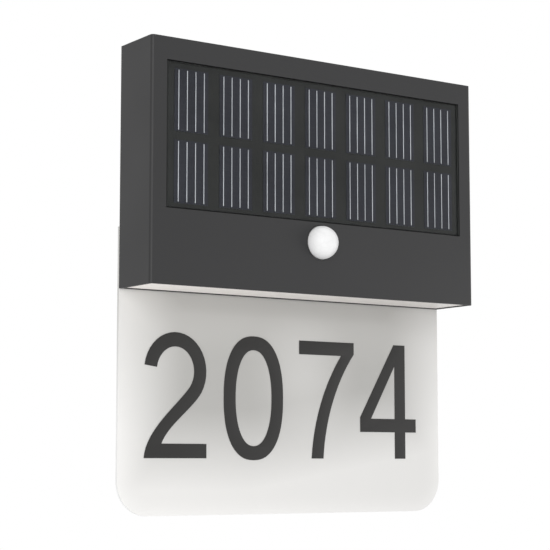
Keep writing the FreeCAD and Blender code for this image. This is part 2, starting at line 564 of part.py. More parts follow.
def rear_cover():
    """One moulding: the recess for the bracket, two closed pockets for its hooks, the battery trough
    behind the door's rails, the button's guide, and pillars for the plate and the control board."""
    body = joined(cover_solids() + cover_ribs())
    body = body.cut(block((-RECESS_X, RECESS_X), (RECESS_BACK, DEPTH + 1), RECESS_Z))
    for side in (-1, 1):
        span = about(side * HOOK_X, 2 * POCKET_X)
        slot = block(span, (POCKET_FRONT, DEPTH), (SLOT_LOW, SLOT_TOP))
        pocket_z = (SLOT_LOW, SLOT_TOP + HOOK_UP + POCKET_WALL)
        body = body.cut(slot).cut(block(span, (POCKET_FRONT, RECESS_BACK - COVER_T), pocket_z))
    body = body.cut(bay_outline(0.0)).cut(door_recess()).cut(battery_door_seal())
    rabbet = block((-HALF, HALF), (0, DIFFUSER_BACK + 0.2), (BOTTOM - 1, DIFFUSER_TOP + 0.3))
    body = body.cut(rabbet)
    for x, z in COVER_SCREWS:
        body = body.cut(countersunk(x, z, DEPTH, PILOT_R + FIT, M3_HEAD_R, M3_HEAD_H, COVER_FRONT - 9))
    for x in PLATE_SCREW_XS:
        body = body.cut(pillar(x, PLATE_SCREW_Z, (DEPTH - PLATE_BOSS_L + 1, DEPTH + 1), PLATE_SCREW_R, 12))
    for x, z in board_screw_places():
        body = body.cut(pillar(x, z, (BOARD_BACK - 1, DEPTH - 3), SMALL_SCREW_R))
    body = body.cut(rod(BUTTON_X, BUTTON_Z, (BOARD_BACK, DEPTH + 1), BUTTON_R + FIT))
    for end in (-1, 1):
        z = BAY_MIDDLE_Z + end * (BAY_L + BAY_WALL) / 2
        depth = about(BAY_AXIS_DEPTH - TAB_FRONT + LEAF_T / 2, 2 * LEAF_T)
        body = body.cut(block(about(BAY_X, TAB_W + LEAF_T), depth, about(z, 4)))
    return body


def rear_cover_seal():
    edge = INSIDE - 0.4
    return frame((-edge, edge), (SEAL_FRONT, COVER_FRONT), (BULKHEAD_LOW + 0.4, TOP - WALL - 0.4), SEAL_W)


def rear_cover_screws():
    return group(
        countersunk(x, z, DEPTH, PILOT_R, M3_HEAD_R, M3_HEAD_H, COVER_FRONT - 12) for x, z in COVER_SCREWS
    )


# ---- battery --------------------------------------------------------------------------------
def battery_cell():
    low = BAY_MIDDLE_Z - CELL18_L / 2
    shoulder = CELL18_L - CELL18_CAP_H
    can = Part.makeCylinder(CELL18_R, shoulder, Vector(BAY_X, FRONT_Y + BAY_AXIS_DEPTH, low))
    cap = post(BAY_X, BAY_AXIS_DEPTH, (low + shoulder, low + CELL18_L), CELL18_CAP_R, 12)
    return can.fuse(cap).removeSplitter()


def battery_contacts():
    """A folded leaf of spring steel at each end, with a tab that comes out through the trough's end."""
    leaves = []
    axis, t = BAY_AXIS_DEPTH, LEAF_T
    for end in (-1, 1):
        wall = BAY_MIDDLE_Z + end * BAY_L / 2
        cell = BAY_MIDDLE_Z + end * CELL18_L / 2
        foot = wall - end * t
        outline = [(axis - 6, wall), (axis + 6, wall), (axis + 6, foot), (axis + 3, foot)]
        outline += [(axis + 0.6, cell), (axis - 1.4, cell), (axis - 1.4, cell + end * t)]
        outline += [(axis + 0.2, cell + end * t), (axis + 2.2, foot), (axis - 6, foot)]
        leaf = extruded_x(outline, about(BAY_X, LEAF_W))
        outer = wall + end * (BAY_WALL + 3)
        tab_depth = (axis - TAB_FRONT, axis - TAB_FRONT + t)
        tab = block(about(BAY_X, TAB_W), tab_depth, tuple(sorted((foot, outer))))
        leaves.append(leaf.fuse(tab).removeSplitter())
    return group(leaves)


def door_recess():
    """The stepped recess that the battery door slides in, with a lip over each long side."""
    z = (DOOR_LOW - FIT, DOOR_LOW + DOOR_L + DOOR_SLIDE + FIT + 1)
    under = block(about(BAY_X, DOOR_W + 2 * (DOOR_FLANGE + FIT)), (COVER_FRONT, DEPTH - DOOR_LIP), z)
    mouth = block(about(BAY_X, DOOR_W + 2 * FIT), (COVER_FRONT, DEPTH + 1), z)
    return under.fuse(mouth).removeSplitter()


def battery_door_seal():
    """A square ring in a groove round the mouth of the trough. The groove is cut by the same ring."""
    x, z = about(BAY_X, 2 * (BAY_R + SEAL_OUT)), about(BAY_MIDDLE_Z, BAY_L + 2 * SEAL_OUT)
    return frame(x, (COVER_FRONT - SEAL_DEEP, COVER_FRONT), z, SEAL_CORD)


def battery_door():
    """A plate with a thin flange that runs under the recess's lips, and finger grooves at its foot."""
    z = (DOOR_LOW, DOOR_LOW + DOOR_L)
    front = COVER_FRONT + FIT
    flange = block(about(BAY_X, DOOR_W + 2 * DOOR_FLANGE - 0.2), (front, DEPTH - DOOR_LIP - FIT), z)
    door = flange.fuse(block(about(BAY_X, DOOR_W - 0.2), (front, DEPTH), z)).removeSplitter()
    for i in range(DOOR_GROOVES):
        low = DOOR_LOW + 5 + GROOVE_PITCH * i
        groove = block(about(BAY_X, GROOVE_L), (DEPTH - GROOVE_DEEP, DEPTH + 1), (low, low + GROOVE_W))
        door = door.cut(groove)
    return door


# ---- control board and button ---------------------------------------------------------------
def board_screw_places():
    x = BOARD_W / 2 - BOARD_SCREW_INSET
    zs = (BOARD_LOW + BOARD_SCREW_INSET, BOARD_HIGH - BOARD_SCREW_INSET)
    return [(BOARD_X + side * x, z) for side in (-1, 1) for z in zs]


def control_board():
    board = block(about(BOARD_X, BOARD_W), (BOARD_BACK - BOARD_T, BOARD_BACK), (BOARD_LOW, BOARD_HIGH))
    for x, z in board_screw_places():
        board = board.cut(pillar(x, z, (0, DEPTH), SMALL_HOLE_R))
    return board


def control_board_screws():
    return group(small_screw(x, z, BOARD_BACK - BOARD_T, BOARD_BACK + 5) for x, z in board_screw_places())


def board_parts():
    """The larger parts on the control board: three chips, a coil and two capacitors."""
    back = BOARD_BACK - BOARD_T
    chips = [
        block(about(BOARD_X - 5, 6), (back - 1.6, back), about(14.5, 5)),
        block(about(BOARD_X + 6, 10), (back - 1.8, back), about(-15, 10)),
        block(about(BOARD_X - 7.8, 4.5), (back - 1.2, back), about(-6.8, 2.5)),
    ]
    coil = pillar(BOARD_X + 6, 24, (back - 4, back), 4.0, 12)
    capacitors = [pillar(BOARD_X - 7, z, (back - 7, back), 2.5, 12) for z in (2, 23)]
    return group(chips + [coil] + capacitors)


def connector_places():
    """Sockets on the control board: LED lead, sensor lead, panel lead and battery lead."""
    return [(BOARD_X - 7, -34.0), (BOARD_X + 7, -34.0), (BOARD_X + 9, 3.0), (BOARD_X - 1, 34.0)]


def board_connectors():
    depth = (SOCKET_FRONT, BOARD_BACK - BOARD_T)
    return group(block(about(x, SOCKET_W), depth, about(z, SOCKET_H)) for x, z in connector_places())


def push_switch():
    """The switch on the board's back: a square case with a hole for its plunger."""
    depth = (BOARD_BACK, BOARD_BACK + SWITCH_H)
    case = block(about(BUTTON_X, SWITCH_W), depth, about(BUTTON_Z, SWITCH_W))
    well = (BOARD_BACK + SWITCH_FLOOR, depth[1] + 1)
    return case.cut(pillar(BUTTON_X, BUTTON_Z, well, PLUNGER_R + 0.4, 12))


def switch_plunger():
    depth = (BOARD_BACK + SWITCH_FLOOR + BUTTON_TRAVEL + FIT, BOARD_BACK + PLUNGER_TOP)
    return pillar(BUTTON_X, BUTTON_Z, depth, PLUNGER_R, 12)


def mode_button():
    """A rubber cap with a bevelled rim, a collar that keeps it in, and a stem onto the switch."""
    top = DEPTH + BUTTON_PROUD
    cap = rod(BUTTON_X, BUTTON_Z, (COLLAR[1], top), BUTTON_R)
    rim = [e for e in cap.Edges if abs(e.BoundBox.YMin - FRONT_Y - top) < 1e-6]
    cap = cap.makeChamfer(0.5, rim)
    collar = pillar(BUTTON_X, BUTTON_Z, COLLAR, COLLAR_R, 16)
    return joined([cap, collar, pillar(BUTTON_X, BUTTON_Z, (BOARD_BACK + PLUNGER_TOP, COLLAR[0]), 1.5)])


# ---- leads ----------------------------------------------------------------------------------
def led_lead():
    x, z = connector_places()[0]
    start = BULKHEAD_LOW - REFLECTOR_T
    route = [(LED_LEAD_X, LIGHT_DEPTH, start), (LED_LEAD_X, LIGHT_DEPTH, -66), (x, 11, -52), (x, 10, z)]
    return lead(route + [(x, SOCKET_FRONT, z)], radius=1.2)


def led_grommet():
    """A rubber ring in the bulkhead's hole, which the LED leads pass through."""
    low, high = BULKHEAD_LOW, BULKHEAD_TOP
    neck = post(LED_LEAD_X, LIGHT_DEPTH, (low, high), GROMMET_R, 12)
    brim = post(LED_LEAD_X, LIGHT_DEPTH, (high, high + 1), GROMMET_BRIM_R, 12)
    return joined([neck, brim]).cut(post(LED_LEAD_X, LIGHT_DEPTH, (low - 1, high + 2), GROMMET_BORE_R, 12))


def sensor_lead():
    x, z = connector_places()[1]
    board, start_z = SENSOR_BOARD_FRONT + BOARD_T, SENSOR_Z + 4
    route = [(-20, board, start_z), (-20, 20, start_z), (-66, 20, start_z), (x, 14, -48), (x, 9, z)]
    return lead(route + [(x, SOCKET_FRONT, z)], bend=4.0, radius=1.4)


def panel_lead():
    x, z = connector_places()[2]
    route = [(x + 28, PANEL_STACK - TAPE_T, z), (x + 28, 11, z), (x, 11, z), (x, SOCKET_FRONT, z)]
    return lead(route, bend=4.5, radius=1.2)


def battery_leads():
    """Two leads from the tabs of the contacts over the recess to the control board."""
    x, z = connector_places()[3]
    reach = BAY_L / 2 + BAY_WALL + 2
    high, low = BAY_MIDDLE_Z + reach, BAY_MIDDLE_Z - reach
    depth = BAY_AXIS_DEPTH - TAB_FRONT - LEAD_R
    upper = [(BAY_X, depth, high), (86, depth, high), (62, 14, 41), (-80, 14, 41)]
    upper += [(x + 0.9, 12, z + 0.4), (x + 0.9, SOCKET_FRONT, z + 0.4)]
    lower = [(BAY_X, depth, low), (84, depth, low), (70, 14, -30), (60, 14, 38.6)]
    lower += [(-78, 14, 38.6), (x - 0.9, 12, z - 1.0), (x - 0.9, SOCKET_FRONT, z - 1.0)]
    return group([lead(upper, bend=4.0), lead(lower, bend=4.0)])


# ---- number plate ---------------------------------------------------------------------------
def number_plate():
    """A sheet of frosted acrylic with square top corners and round bottom corners."""
    low, high = BOTTOM - PLATE_DROP, BOTTOM + PLATE_OVERLAP
    plate = block((-HALF, HALF), (DEPTH, DEPTH + PLATE_T), (low, high))
    corners = [
        e for e in plate.Edges
        if abs(e.BoundBox.YLength - PLATE_T) < 1e-6 and abs(e.CenterOfMass.z - low) < 1e-6
        and e.BoundBox.XLength < 1e-6
    ]
    plate = plate.makeFillet(PLATE_CORNER_R, corners)
    for x in PLATE_SCREW_XS:
        plate = plate.cut(plate_screw(x, 0.2, 0.1, DEPTH))
    return plate


def plate_screw(x, shank_room, head_room, tip):
    """A countersunk screw from the back of the plate, or, with room added, the hole for one."""
    shank_r, head_r = PLATE_SCREW_R + shank_room, PLATE_HEAD_R + head_room
    return countersunk(x, PLATE_SCREW_Z, DEPTH + PLATE_T, shank_r, head_r, PLATE_HEAD_H, tip)


def plate_screws():
    tip = DEPTH - PLATE_BOSS_L + 1.5
    return group(plate_screw(x, 0, 0, tip) for x in PLATE_SCREW_XS)


# ---- wall bracket ---------------------------------------------------------------------------
def bracket_hook(x):
    """A tongue cut from the plate, bent forward and then up."""
    wall = BRACKET_FACE + STEEL
    z = HOOK_LEG_Z
    outline = [(wall, z), (HOOK_FRONT, z), (HOOK_FRONT, z + STEEL + HOOK_UP)]
    outline += [(HOOK_FRONT + STEEL, z + STEEL + HOOK_UP), (HOOK_FRONT + STEEL, z + STEEL)]
    hook = extruded_x(outline + [(wall, z + STEEL)], about(x, HOOK_W))
    outer_bend = [
        e for e in hook.Edges
        if e.BoundBox.XLength > HOOK_W - 1e-6
        and abs(e.CenterOfMass.y - FRONT_Y - HOOK_FRONT) < 1e-6 and abs(e.CenterOfMass.z - z) < 1e-6
    ]
    return hook.makeFillet(STEEL, outer_bend)


def wall_bracket():
    """Pressed steel: a plate with a folded lip along its top and bottom, and two hooks."""
    wall, half_h = BRACKET_FACE + STEEL, BRACKET_H / 2
    lip = BRACKET_FACE - BRACKET_LIP
    outline = [(wall, -half_h), (lip, -half_h), (lip, -half_h + STEEL), (BRACKET_FACE, -half_h + STEEL)]
    outline += [(BRACKET_FACE, half_h - STEEL), (lip, half_h - STEEL), (lip, half_h), (wall, half_h)]
    plate = extruded_x(outline, (-BRACKET_W / 2, BRACKET_W / 2))
    folds = [
        e for e in plate.Edges
        if e.BoundBox.XLength > BRACKET_W - 1 and abs(e.CenterOfMass.y - FRONT_Y - wall) < 1e-6
    ]
    body = plate.makeFillet(STEEL, folds)
    for side in (-1, 1):
        window = about(side * HOOK_X, HOOK_W + 2)
        body = body.cut(block(window, (0, wall + 1), (-half_h + STEEL + 4, HOOK_LEG_Z)))
        body = body.cut(slot_hole(side * SLOT_X, 0, (0, wall + 1), SLOT_L, SLOT_R))
    return joined([body] + [bracket_hook(side * HOOK_X) for side in (-1, 1)])


PIECES = [
    wall_bracket, front_casing, rear_cover, rear_cover_seal, rear_cover_screws,
    solar_front_sheet, solar_ribbons, solar_cells, solar_backing_board, solar_panel_tape,
    sensor_lens, sensor_lens_gasket, sensor_lens_retainer, sensor_retainer_screws,
    sensor_board, sensor_board_screws, motion_sensor,
    reflector, led_board, leds, light_screws, diffuser, led_grommet,
    battery_cell, battery_contacts, battery_door, battery_door_seal,
    control_board, control_board_screws, board_parts, board_connectors,
    push_switch, switch_plunger, mode_button,
    led_lead, sensor_lead, panel_lead, battery_leads,
    number_plate, plate_screws,
]


def main():
    os.makedirs("parts", exist_ok=True)
    for make in PIECES:
        shape = make()
        box = shape.BoundBox
        print(f"{make.__name__}: {len(shape.Solids)} solid(s), valid {shape.isValid()}, "
              f"{box.XLength:.1f} x {box.YLength:.1f} x {box.ZLength:.1f} mm")
        shape.exportStep(f"parts/{make.__name__}.step")


main()
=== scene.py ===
# %% [markdown]
# # A solar house number light
#
# The light is a flat anthracite box that hangs on a wall. Its front holds a solar panel and the white
# dome of a motion sensor, and its underside is an opal strip that lights a frosted plate with the
# house number. The CAD model brings every rigid piece at its real size, so this lesson only adds what
# CAD is poor at: the finish of each surface, the cut-out figures, the moulded dome, the rolled ribbons
# and the small heads that a drawing leaves plain. Everything is in metres, in the CAD model's frame.

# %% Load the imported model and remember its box
import bpy
import numpy as np
from mathutils import Matrix, Vector


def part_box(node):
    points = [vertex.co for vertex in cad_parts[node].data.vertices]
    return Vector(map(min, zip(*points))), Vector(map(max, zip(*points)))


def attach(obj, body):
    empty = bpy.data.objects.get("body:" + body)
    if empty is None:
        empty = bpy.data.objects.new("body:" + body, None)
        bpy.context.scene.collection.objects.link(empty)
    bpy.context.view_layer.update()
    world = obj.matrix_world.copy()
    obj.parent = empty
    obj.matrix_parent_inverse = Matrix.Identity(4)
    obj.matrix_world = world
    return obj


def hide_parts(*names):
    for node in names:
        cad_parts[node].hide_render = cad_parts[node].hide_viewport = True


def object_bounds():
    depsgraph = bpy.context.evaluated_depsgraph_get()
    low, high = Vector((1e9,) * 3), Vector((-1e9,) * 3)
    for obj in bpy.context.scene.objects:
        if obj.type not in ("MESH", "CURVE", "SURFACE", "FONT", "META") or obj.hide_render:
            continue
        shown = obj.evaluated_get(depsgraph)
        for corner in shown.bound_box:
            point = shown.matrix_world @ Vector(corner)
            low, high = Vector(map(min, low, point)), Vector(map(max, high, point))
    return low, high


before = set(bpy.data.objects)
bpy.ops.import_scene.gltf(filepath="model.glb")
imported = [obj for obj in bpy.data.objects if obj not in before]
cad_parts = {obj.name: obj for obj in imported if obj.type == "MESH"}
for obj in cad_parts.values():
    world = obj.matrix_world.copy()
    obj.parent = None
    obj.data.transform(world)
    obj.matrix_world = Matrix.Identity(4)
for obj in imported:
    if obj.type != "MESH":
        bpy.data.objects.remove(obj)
cad_low, cad_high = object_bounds()
MM = 0.001
LAMP, BUTTON = "lamp", "mode_button"
print("size in mm", [round((high - low) / MM, 1) for low, high in zip(cad_low, cad_high)])

# %% [markdown]
# ## Where things are
#
# The drawing already says where each piece lies, so nothing is typed in twice. The box of a node gives
# its six sides, and the faces that the later cells need are read from those boxes.

# %% Read the main faces from the boxes of the nodes
casing_low = Vector(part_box("front_casing")[0])
plate_low, plate_high = (Vector(corner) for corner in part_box("number_plate"))
lens_low, lens_high = (Vector(corner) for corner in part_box("sensor_lens"))
casing_front, casing_foot = casing_low.y, casing_low.z
plate_front = plate_low.y
dome_centre = Vector((0.0, casing_front, (lens_low.z + lens_high.z) / 2))
dome_radius = casing_front - lens_low.y
print("front of the casing at", round(casing_front / MM, 2), "mm")
print("radius of the dome", round(dome_radius / MM, 2), "mm")

# %% [markdown]
# ## The camera
#
# The photograph was matched by its straight edges: their two vanishing points give the direction of
# view, and the size of the casing gives the distance. A long lens keeps the verticals nearly parallel.
# The eye stands below the light, to its left, and looks slightly up.

# %% Set up the camera
EYE = Vector((-0.64568, -0.92947, -0.20815))
HEADING = np.radians(34.428)       # turned from straight ahead towards +X
CLIMB = np.radians(6.411)          # tilted up
LENS_MM, SENSOR_MM = 110.17, 36.0

sight = Vector((np.sin(HEADING) * np.cos(CLIMB), np.cos(HEADING) * np.cos(CLIMB), np.sin(CLIMB)))
sideways = Vector((np.cos(HEADING), -np.sin(HEADING), 0.0))
upwards = sideways.cross(sight)

camera_data = bpy.data.cameras.new("photo_camera")
camera_data.lens = LENS_MM
camera_data.sensor_width = SENSOR_MM
camera_data.clip_start = 0.01
camera = bpy.data.objects.new("photo_camera", camera_data)
bpy.context.collection.objects.link(camera)
turn = Matrix((sideways, upwards, -sight)).transposed().to_4x4()
camera.matrix_world = Matrix.Translation(EYE) @ turn
bpy.context.scene.camera = camera
bpy.context.scene.view_settings.view_transform = "Standard"
print("camera", [round(value, 3) for value in EYE], "looks along", [round(value, 3) for value in sight])

# %% [markdown]
# ## Helpers for materials
#
# Colours are written as the hex codes that a screen shows, and shaders count in linear light, so one
# function turns the one into the other. Another one adds a shader node. It takes the node's own
# settings by name, and its sockets by name in a dictionary or else in their order. A node that is given
# for a socket stands for its first output, which is linked, as any output is. Anything else is a value.

# %% Colours and nodes
def linear(code):
    """An sRGB hex code as linear red, green, blue and full opacity."""
    shown = np.array([int(code[place:place + 2], 16) for place in (0, 2, 4)]) / 255
    light = np.where(shown <= 0.04045, shown / 12.92, ((shown + 0.055) / 1.055) ** 2.4)
    return (*light.tolist(), 1.0)


def add(tree, kind, sockets=(), **settings):
    """Adds a node with its settings. A node or an output is linked to its socket, and a value is set."""
    node = tree.nodes.new(kind)
    for name, value in settings.items():
        setattr(node, name, value)
    for name, value in sockets.items() if isinstance(sockets, dict) else enumerate(sockets):
        if isinstance(value, bpy.types.Node):
            value = value.outputs[0]
        if isinstance(value, bpy.types.NodeSocket):
            tree.links.new(value, node.inputs[name])
        else:
            node.inputs[name].default_value = value
    return node


def new_material(name):
    """An empty material, its node tree, and the place of each point in Object coordinates."""
    material = bpy.data.materials.new(name)
    material.use_nodes = True
    material.node_tree.nodes.clear()
    add(material.node_tree, "ShaderNodeOutputMaterial")
    place = add(material.node_tree, "ShaderNodeTexCoord")
    return material, material.node_tree, place.outputs["Object"]


def show(tree, shader):
    """Sends a shader to the material's output."""
    output = next(node for node in tree.nodes if node.type == "OUTPUT_MATERIAL")
    tree.links.new(shader.outputs[0], output.inputs["Surface"])


print("anthracite in linear light:", [round(value, 4) for value in linear("434345")[:3]])

# %% [markdown]
# ## The studio
#
# The photograph looks like a white studio: the ground is pure white and light comes from everywhere.
# The world is white to the eye, to reflections and to glass, and a softer grey as a lamp, so that pale
# surfaces keep their shading. Five soft lamps do the rest. A large one beside the camera, on its left,
# gives the dome its round form. A low and wide one on the right is seen only as the soft gloss that
# grows towards the casing's right side. The third lies flat just above the floor and lifts the opal
# strip in the underside. One behind the light keeps its back readable, and a small one above the
# dome lights its top.

# %% World and lamps
SKY_LIGHT = 0.5
WHITE = (1.0, 1.0, 1.0, 1.0)
FLOOR_Z = -0.5


def seen_by_eye(tree):
    """1 for rays of the eye, directly, by reflection or through glass, and 0 for rays that gather light."""
    ray = add(tree, "ShaderNodeLightPath").outputs
    seen = add(tree, "ShaderNodeMath", (ray["Is Camera Ray"], ray["Is Glossy Ray"]), operation="MAXIMUM")
    return add(tree, "ShaderNodeMath", (seen, ray["Is Transmission Ray"]), operation="MAXIMUM")


world = bpy.data.worlds.new("white_studio")
bpy.context.scene.world = world
world.use_nodes = True
world.node_tree.nodes.clear()
soft = add(world.node_tree, "ShaderNodeBackground", {"Color": WHITE, "Strength": SKY_LIGHT})
white = add(world.node_tree, "ShaderNodeBackground", {"Color": WHITE, "Strength": 1.0})
sky = add(world.node_tree, "ShaderNodeMixShader", (seen_by_eye(world.node_tree), soft, white))
add(world.node_tree, "ShaderNodeOutputWorld", {"Surface": sky})


def softbox(name, place, target, width, height, watts):
    """A rectangular lamp at place, turned to face target."""
    data = bpy.data.lights.new(name, "AREA")
    data.shape = "RECTANGLE"
    data.size = width
    data.size_y = height
    data.energy = watts
    lamp = bpy.data.objects.new(name, data)
    bpy.context.collection.objects.link(lamp)
    direction = Vector(target) - Vector(place)
    facing = direction.to_track_quat("-Z", "Y").to_matrix().to_4x4()
    lamp.matrix_world = Matrix.Translation(place) @ facing
    lamp.visible_camera = False


middle = (Vector(cad_low) + Vector(cad_high)) / 2
foot = Vector((-0.36, -0.34, FLOOR_Z + 0.015))
above_dome = Vector((0.02, -0.09, 0.25))
softbox("key_softbox", (-1.25, -1.6, 0.32), middle, 1.2, 1.2, watts=17.5)
softbox("gloss_softbox", (1.75, -1.05, -0.34), middle, 0.9, 0.3, watts=7.5)
softbox("foot_softbox", foot, (foot.x, foot.y, 0.0), 0.5, 0.5, watts=0.85)
softbox("back_softbox", (0.55, 1.5, 0.1), middle, 1.0, 1.0, watts=6.0)
softbox("dome_softbox", above_dome, (above_dome.x, above_dome.y, 0.0), 0.2, 0.05, watts=0.2)
print("lamps:", [lamp.name for lamp in bpy.data.lights])

# %% [markdown]
# The floor lies below the picture. It catches a soft shadow, fades out into the white at its rim, and
# is clear from below, so that the underside can be looked at too. Paper in such soft light would look
# grey beside the white world, so the eye sees a little light of the paper's own, which lights nothing.

# %% The floor
FLOOR_R, FLOOR_FADE_R, FLOOR_HUB_R = 1.5, 0.75, 0.001
FLOOR_RINGS, FLOOR_SPOKES = 12, 64
FLOOR_LIFT = 0.32          # the light of the paper's own, for the eye only


def ring_mesh(name, points):
    """A mesh object from grids of points, shape (..., rows, columns, 3), whose rows are closed rings."""
    index = np.arange(points.size // 3).reshape(points.shape[:-1])
    index = np.concatenate([index, index[..., :1]], axis=-1)
    corners = [index[..., :-1, :-1], index[..., :-1, 1:], index[..., 1:, 1:], index[..., 1:, :-1]]
    quads = np.stack(corners, axis=-1).reshape(-1, 4)
    mesh = bpy.data.meshes.new(name)
    mesh.from_pydata(points.reshape(-1, 3).tolist(), [], quads.tolist())
    mesh.update()
    made = bpy.data.objects.new(name, mesh)
    bpy.context.collection.objects.link(made)
    return made


def floor_points():
    """A flat disc: radius grows along u, and the angle turns clockwise along v, so that it faces up."""
    radius = np.linspace(FLOOR_HUB_R, FLOOR_R, FLOOR_RINGS)[:, None]
    angle = np.linspace(0, 2 * np.pi, FLOOR_SPOKES, endpoint=False)[None, :]
    flat = np.full(np.broadcast(radius, angle).shape, FLOOR_Z)
    return np.stack([radius * np.sin(angle), radius * np.cos(angle), flat], axis=-1)


floor_finish, tree, place = new_material("white_paper_floor")
away = add(tree, "ShaderNodeVectorMath", (place,), operation="LENGTH").outputs["Value"]
rim = add(tree, "ShaderNodeMapRange", (away, FLOOR_FADE_R, FLOOR_R, 0.0, 1.0),
          interpolation_type="SMOOTHSTEP")
below = add(tree, "ShaderNodeNewGeometry").outputs["Backfacing"]
clear = add(tree, "ShaderNodeMath", (rim, below), operation="MAXIMUM")
paper = add(tree, "ShaderNodeBsdfDiffuse", {"Color": linear("f2f2f2")})
lift = add(tree, "ShaderNodeMath", (seen_by_eye(tree), FLOOR_LIFT), operation="MULTIPLY")
own = add(tree, "ShaderNodeEmission", {"Strength": lift})
pale = add(tree, "ShaderNodeAddShader", (paper, own))
gone = add(tree, "ShaderNodeBsdfTransparent")
show(tree, add(tree, "ShaderNodeMixShader", (clear, pale, gone)))

floor = ring_mesh("studio_floor", floor_points())
floor.data.materials.append(floor_finish)
print("floor at", FLOOR_Z, "m")

# %% [markdown]
# ## Moulded anthracite plastic
#
# The casing is injection-moulded ABS. The mould is spark-eroded, which leaves an even grain of a few
# tenths of a millimetre and a soft, matt reflection with no clear highlight. The grain is a fine noise
# in the bump, a slower noise changes the roughness where the melt cooled unevenly, and the colour
# barely changes at all. The same recipe, a shade off in colour and gloss, serves the cover and the door.

# %% Anthracite plastics
GRAIN_MM, GRAIN_DEPTH_MM = 0.45, 0.012      # eroded grain
FLOW_MM = 60.0                              # slow change of gloss across the face
FLOW_DRIFT, GRAIN_DRIFT = 0.03, 0.06        # how much gloss and colour wander
NOISE_SPAN = (0.3, 0.7)                     # a noise seldom leaves this range


def moulded_plastic(name, colour, roughness, specular, grain_mm=GRAIN_MM, depth_mm=GRAIN_DEPTH_MM):
    """Matt plastic: fine grain in the bump, a trace of it in the colour, and a slow drift in gloss."""
    material, tree, place = new_material(name)
    grain = add(tree, "ShaderNodeTexNoise", {
        "Vector": place, "Scale": 1 / (grain_mm * MM), "Detail": 2.0, "Roughness": 0.6})
    flow = add(tree, "ShaderNodeTexNoise", {"Vector": place, "Scale": 1 / (FLOW_MM * MM), "Detail": 1.0})
    tint = add(tree, "ShaderNodeMapRange", (grain, *NOISE_SPAN, 1 - GRAIN_DRIFT, 1 + GRAIN_DRIFT))
    shade = add(tree, "ShaderNodeVectorMath", {0: linear(colour)[:3], "Scale": tint}, operation="SCALE")
    gloss = add(tree, "ShaderNodeMapRange", (
        flow, *NOISE_SPAN, roughness - FLOW_DRIFT, roughness + FLOW_DRIFT))
    bump = add(tree, "ShaderNodeBump", {"Height": grain, "Strength": 0.5, "Distance": depth_mm * MM})
    plastic = add(tree, "ShaderNodeBsdfPrincipled", {
        "Base Color": shade, "Roughness": gloss, "Normal": bump, "IOR": 1.5,
        "Specular IOR Level": specular})
    show(tree, plastic)
    return material


anthracite_abs = moulded_plastic("spark_grained_anthracite_abs", "232324", 0.5, 0.42)
cover_abs = moulded_plastic("moulded_anthracite_cover_abs", "252527", 0.58, 0.4)
door_abs = moulded_plastic("moulded_anthracite_door_abs", "222224", 0.5, 0.45, grain_mm=0.6)
print("plastics:", anthracite_abs.name, cover_abs.name, door_abs.name)

# %% [markdown]
# ## Rubber, white plastics and the boards
#
# Seals and wires are dull and even, so a little mottling is enough. The reflector and the connectors
# are plain white mouldings. The boards carry a solder mask: green or white lacquer over copper tracks,
# which stand a few hundredths of a millimetre proud and shine through as paler lines.

# %% Soft and hidden finishes
FILM_IOR, FILM_ROUGH = 1.38, 0.35         # the satin film over the solar panel, see there
PATCH_SPAN = (0.35, 0.65)                 # where the mottling is fully dark and fully light


def mottled(name, light, dark, patch_mm, roughness, specular=0.5, depth_mm=0.02, coat=0.0):
    """A finish that wanders between two close colours in patches, with a bump of the same patches."""
    material, tree, place = new_material(name)
    patch = add(tree, "ShaderNodeTexNoise", {"Vector": place, "Scale": 1 / (patch_mm * MM), "Detail": 3.0})
    shade = add(tree, "ShaderNodeValToRGB", {"Fac": patch})
    for element, position, code in zip(shade.color_ramp.elements, PATCH_SPAN, (dark, light)):
        element.position = position
        element.color = linear(code)
    bump = add(tree, "ShaderNodeBump", {"Height": patch, "Strength": 0.3, "Distance": depth_mm * MM})
    body = add(tree, "ShaderNodeBsdfPrincipled", {
        "Base Color": shade, "Roughness": roughness, "Normal": bump, "Specular IOR Level": specular,
        "Coat Weight": coat, "Coat Roughness": FILM_ROUGH, "Coat IOR": FILM_IOR})
    show(tree, body)
    return material


black_silicone = mottled("moulded_black_silicone", "1c1c1d", "151516", 1.5, 0.7, 0.3)
grey_silicone = mottled("moulded_grey_silicone", "6a6b6e", "5f6063", 1.5, 0.65, 0.3)
foam = mottled("cut_black_foam_tape", "1a1a1a", "0c0c0c", 0.4, 0.95, 0.1, depth_mm=0.1)
reflector_abs = mottled("moulded_white_reflector_abs", "f2f2ef", "ebebe8", 8.0, 0.35)
nylon = mottled("moulded_natural_nylon", "e6e0cf", "dcd6c4", 3.0, 0.45)
epoxy = mottled("moulded_black_epoxy", "202021", "161617", 0.3, 0.6, 0.4)
laminate = mottled("black_glass_fibre_laminate", "1e201f", "1c1e1d", 6.0, 0.6, specular=0.0,
                   depth_mm=0.0, coat=1.0)
grey_pvc = mottled("extruded_grey_pvc_wire_cover", "5d5e60", "545557", 2.0, 0.5)
red_pvc = mottled("extruded_red_pvc_wire_cover", "8f211d", "821c19", 2.0, 0.5)
shrink_wrap = mottled("shrunk_green_pvc_sleeve", "2f6b45", "2a6340", 12.0, 0.28)
phosphor = mottled("cast_yellow_led_phosphor", "ecd27a", "e3c664", 0.8, 0.4)
print("soft and hidden finishes made")

# %% Solder mask over copper tracks
TRACK_W, RUN_L = 0.18, 3.5                # width of a track and length of a run, in pitches
TRACK_UP_MM = 0.04                        # how far a track stands proud


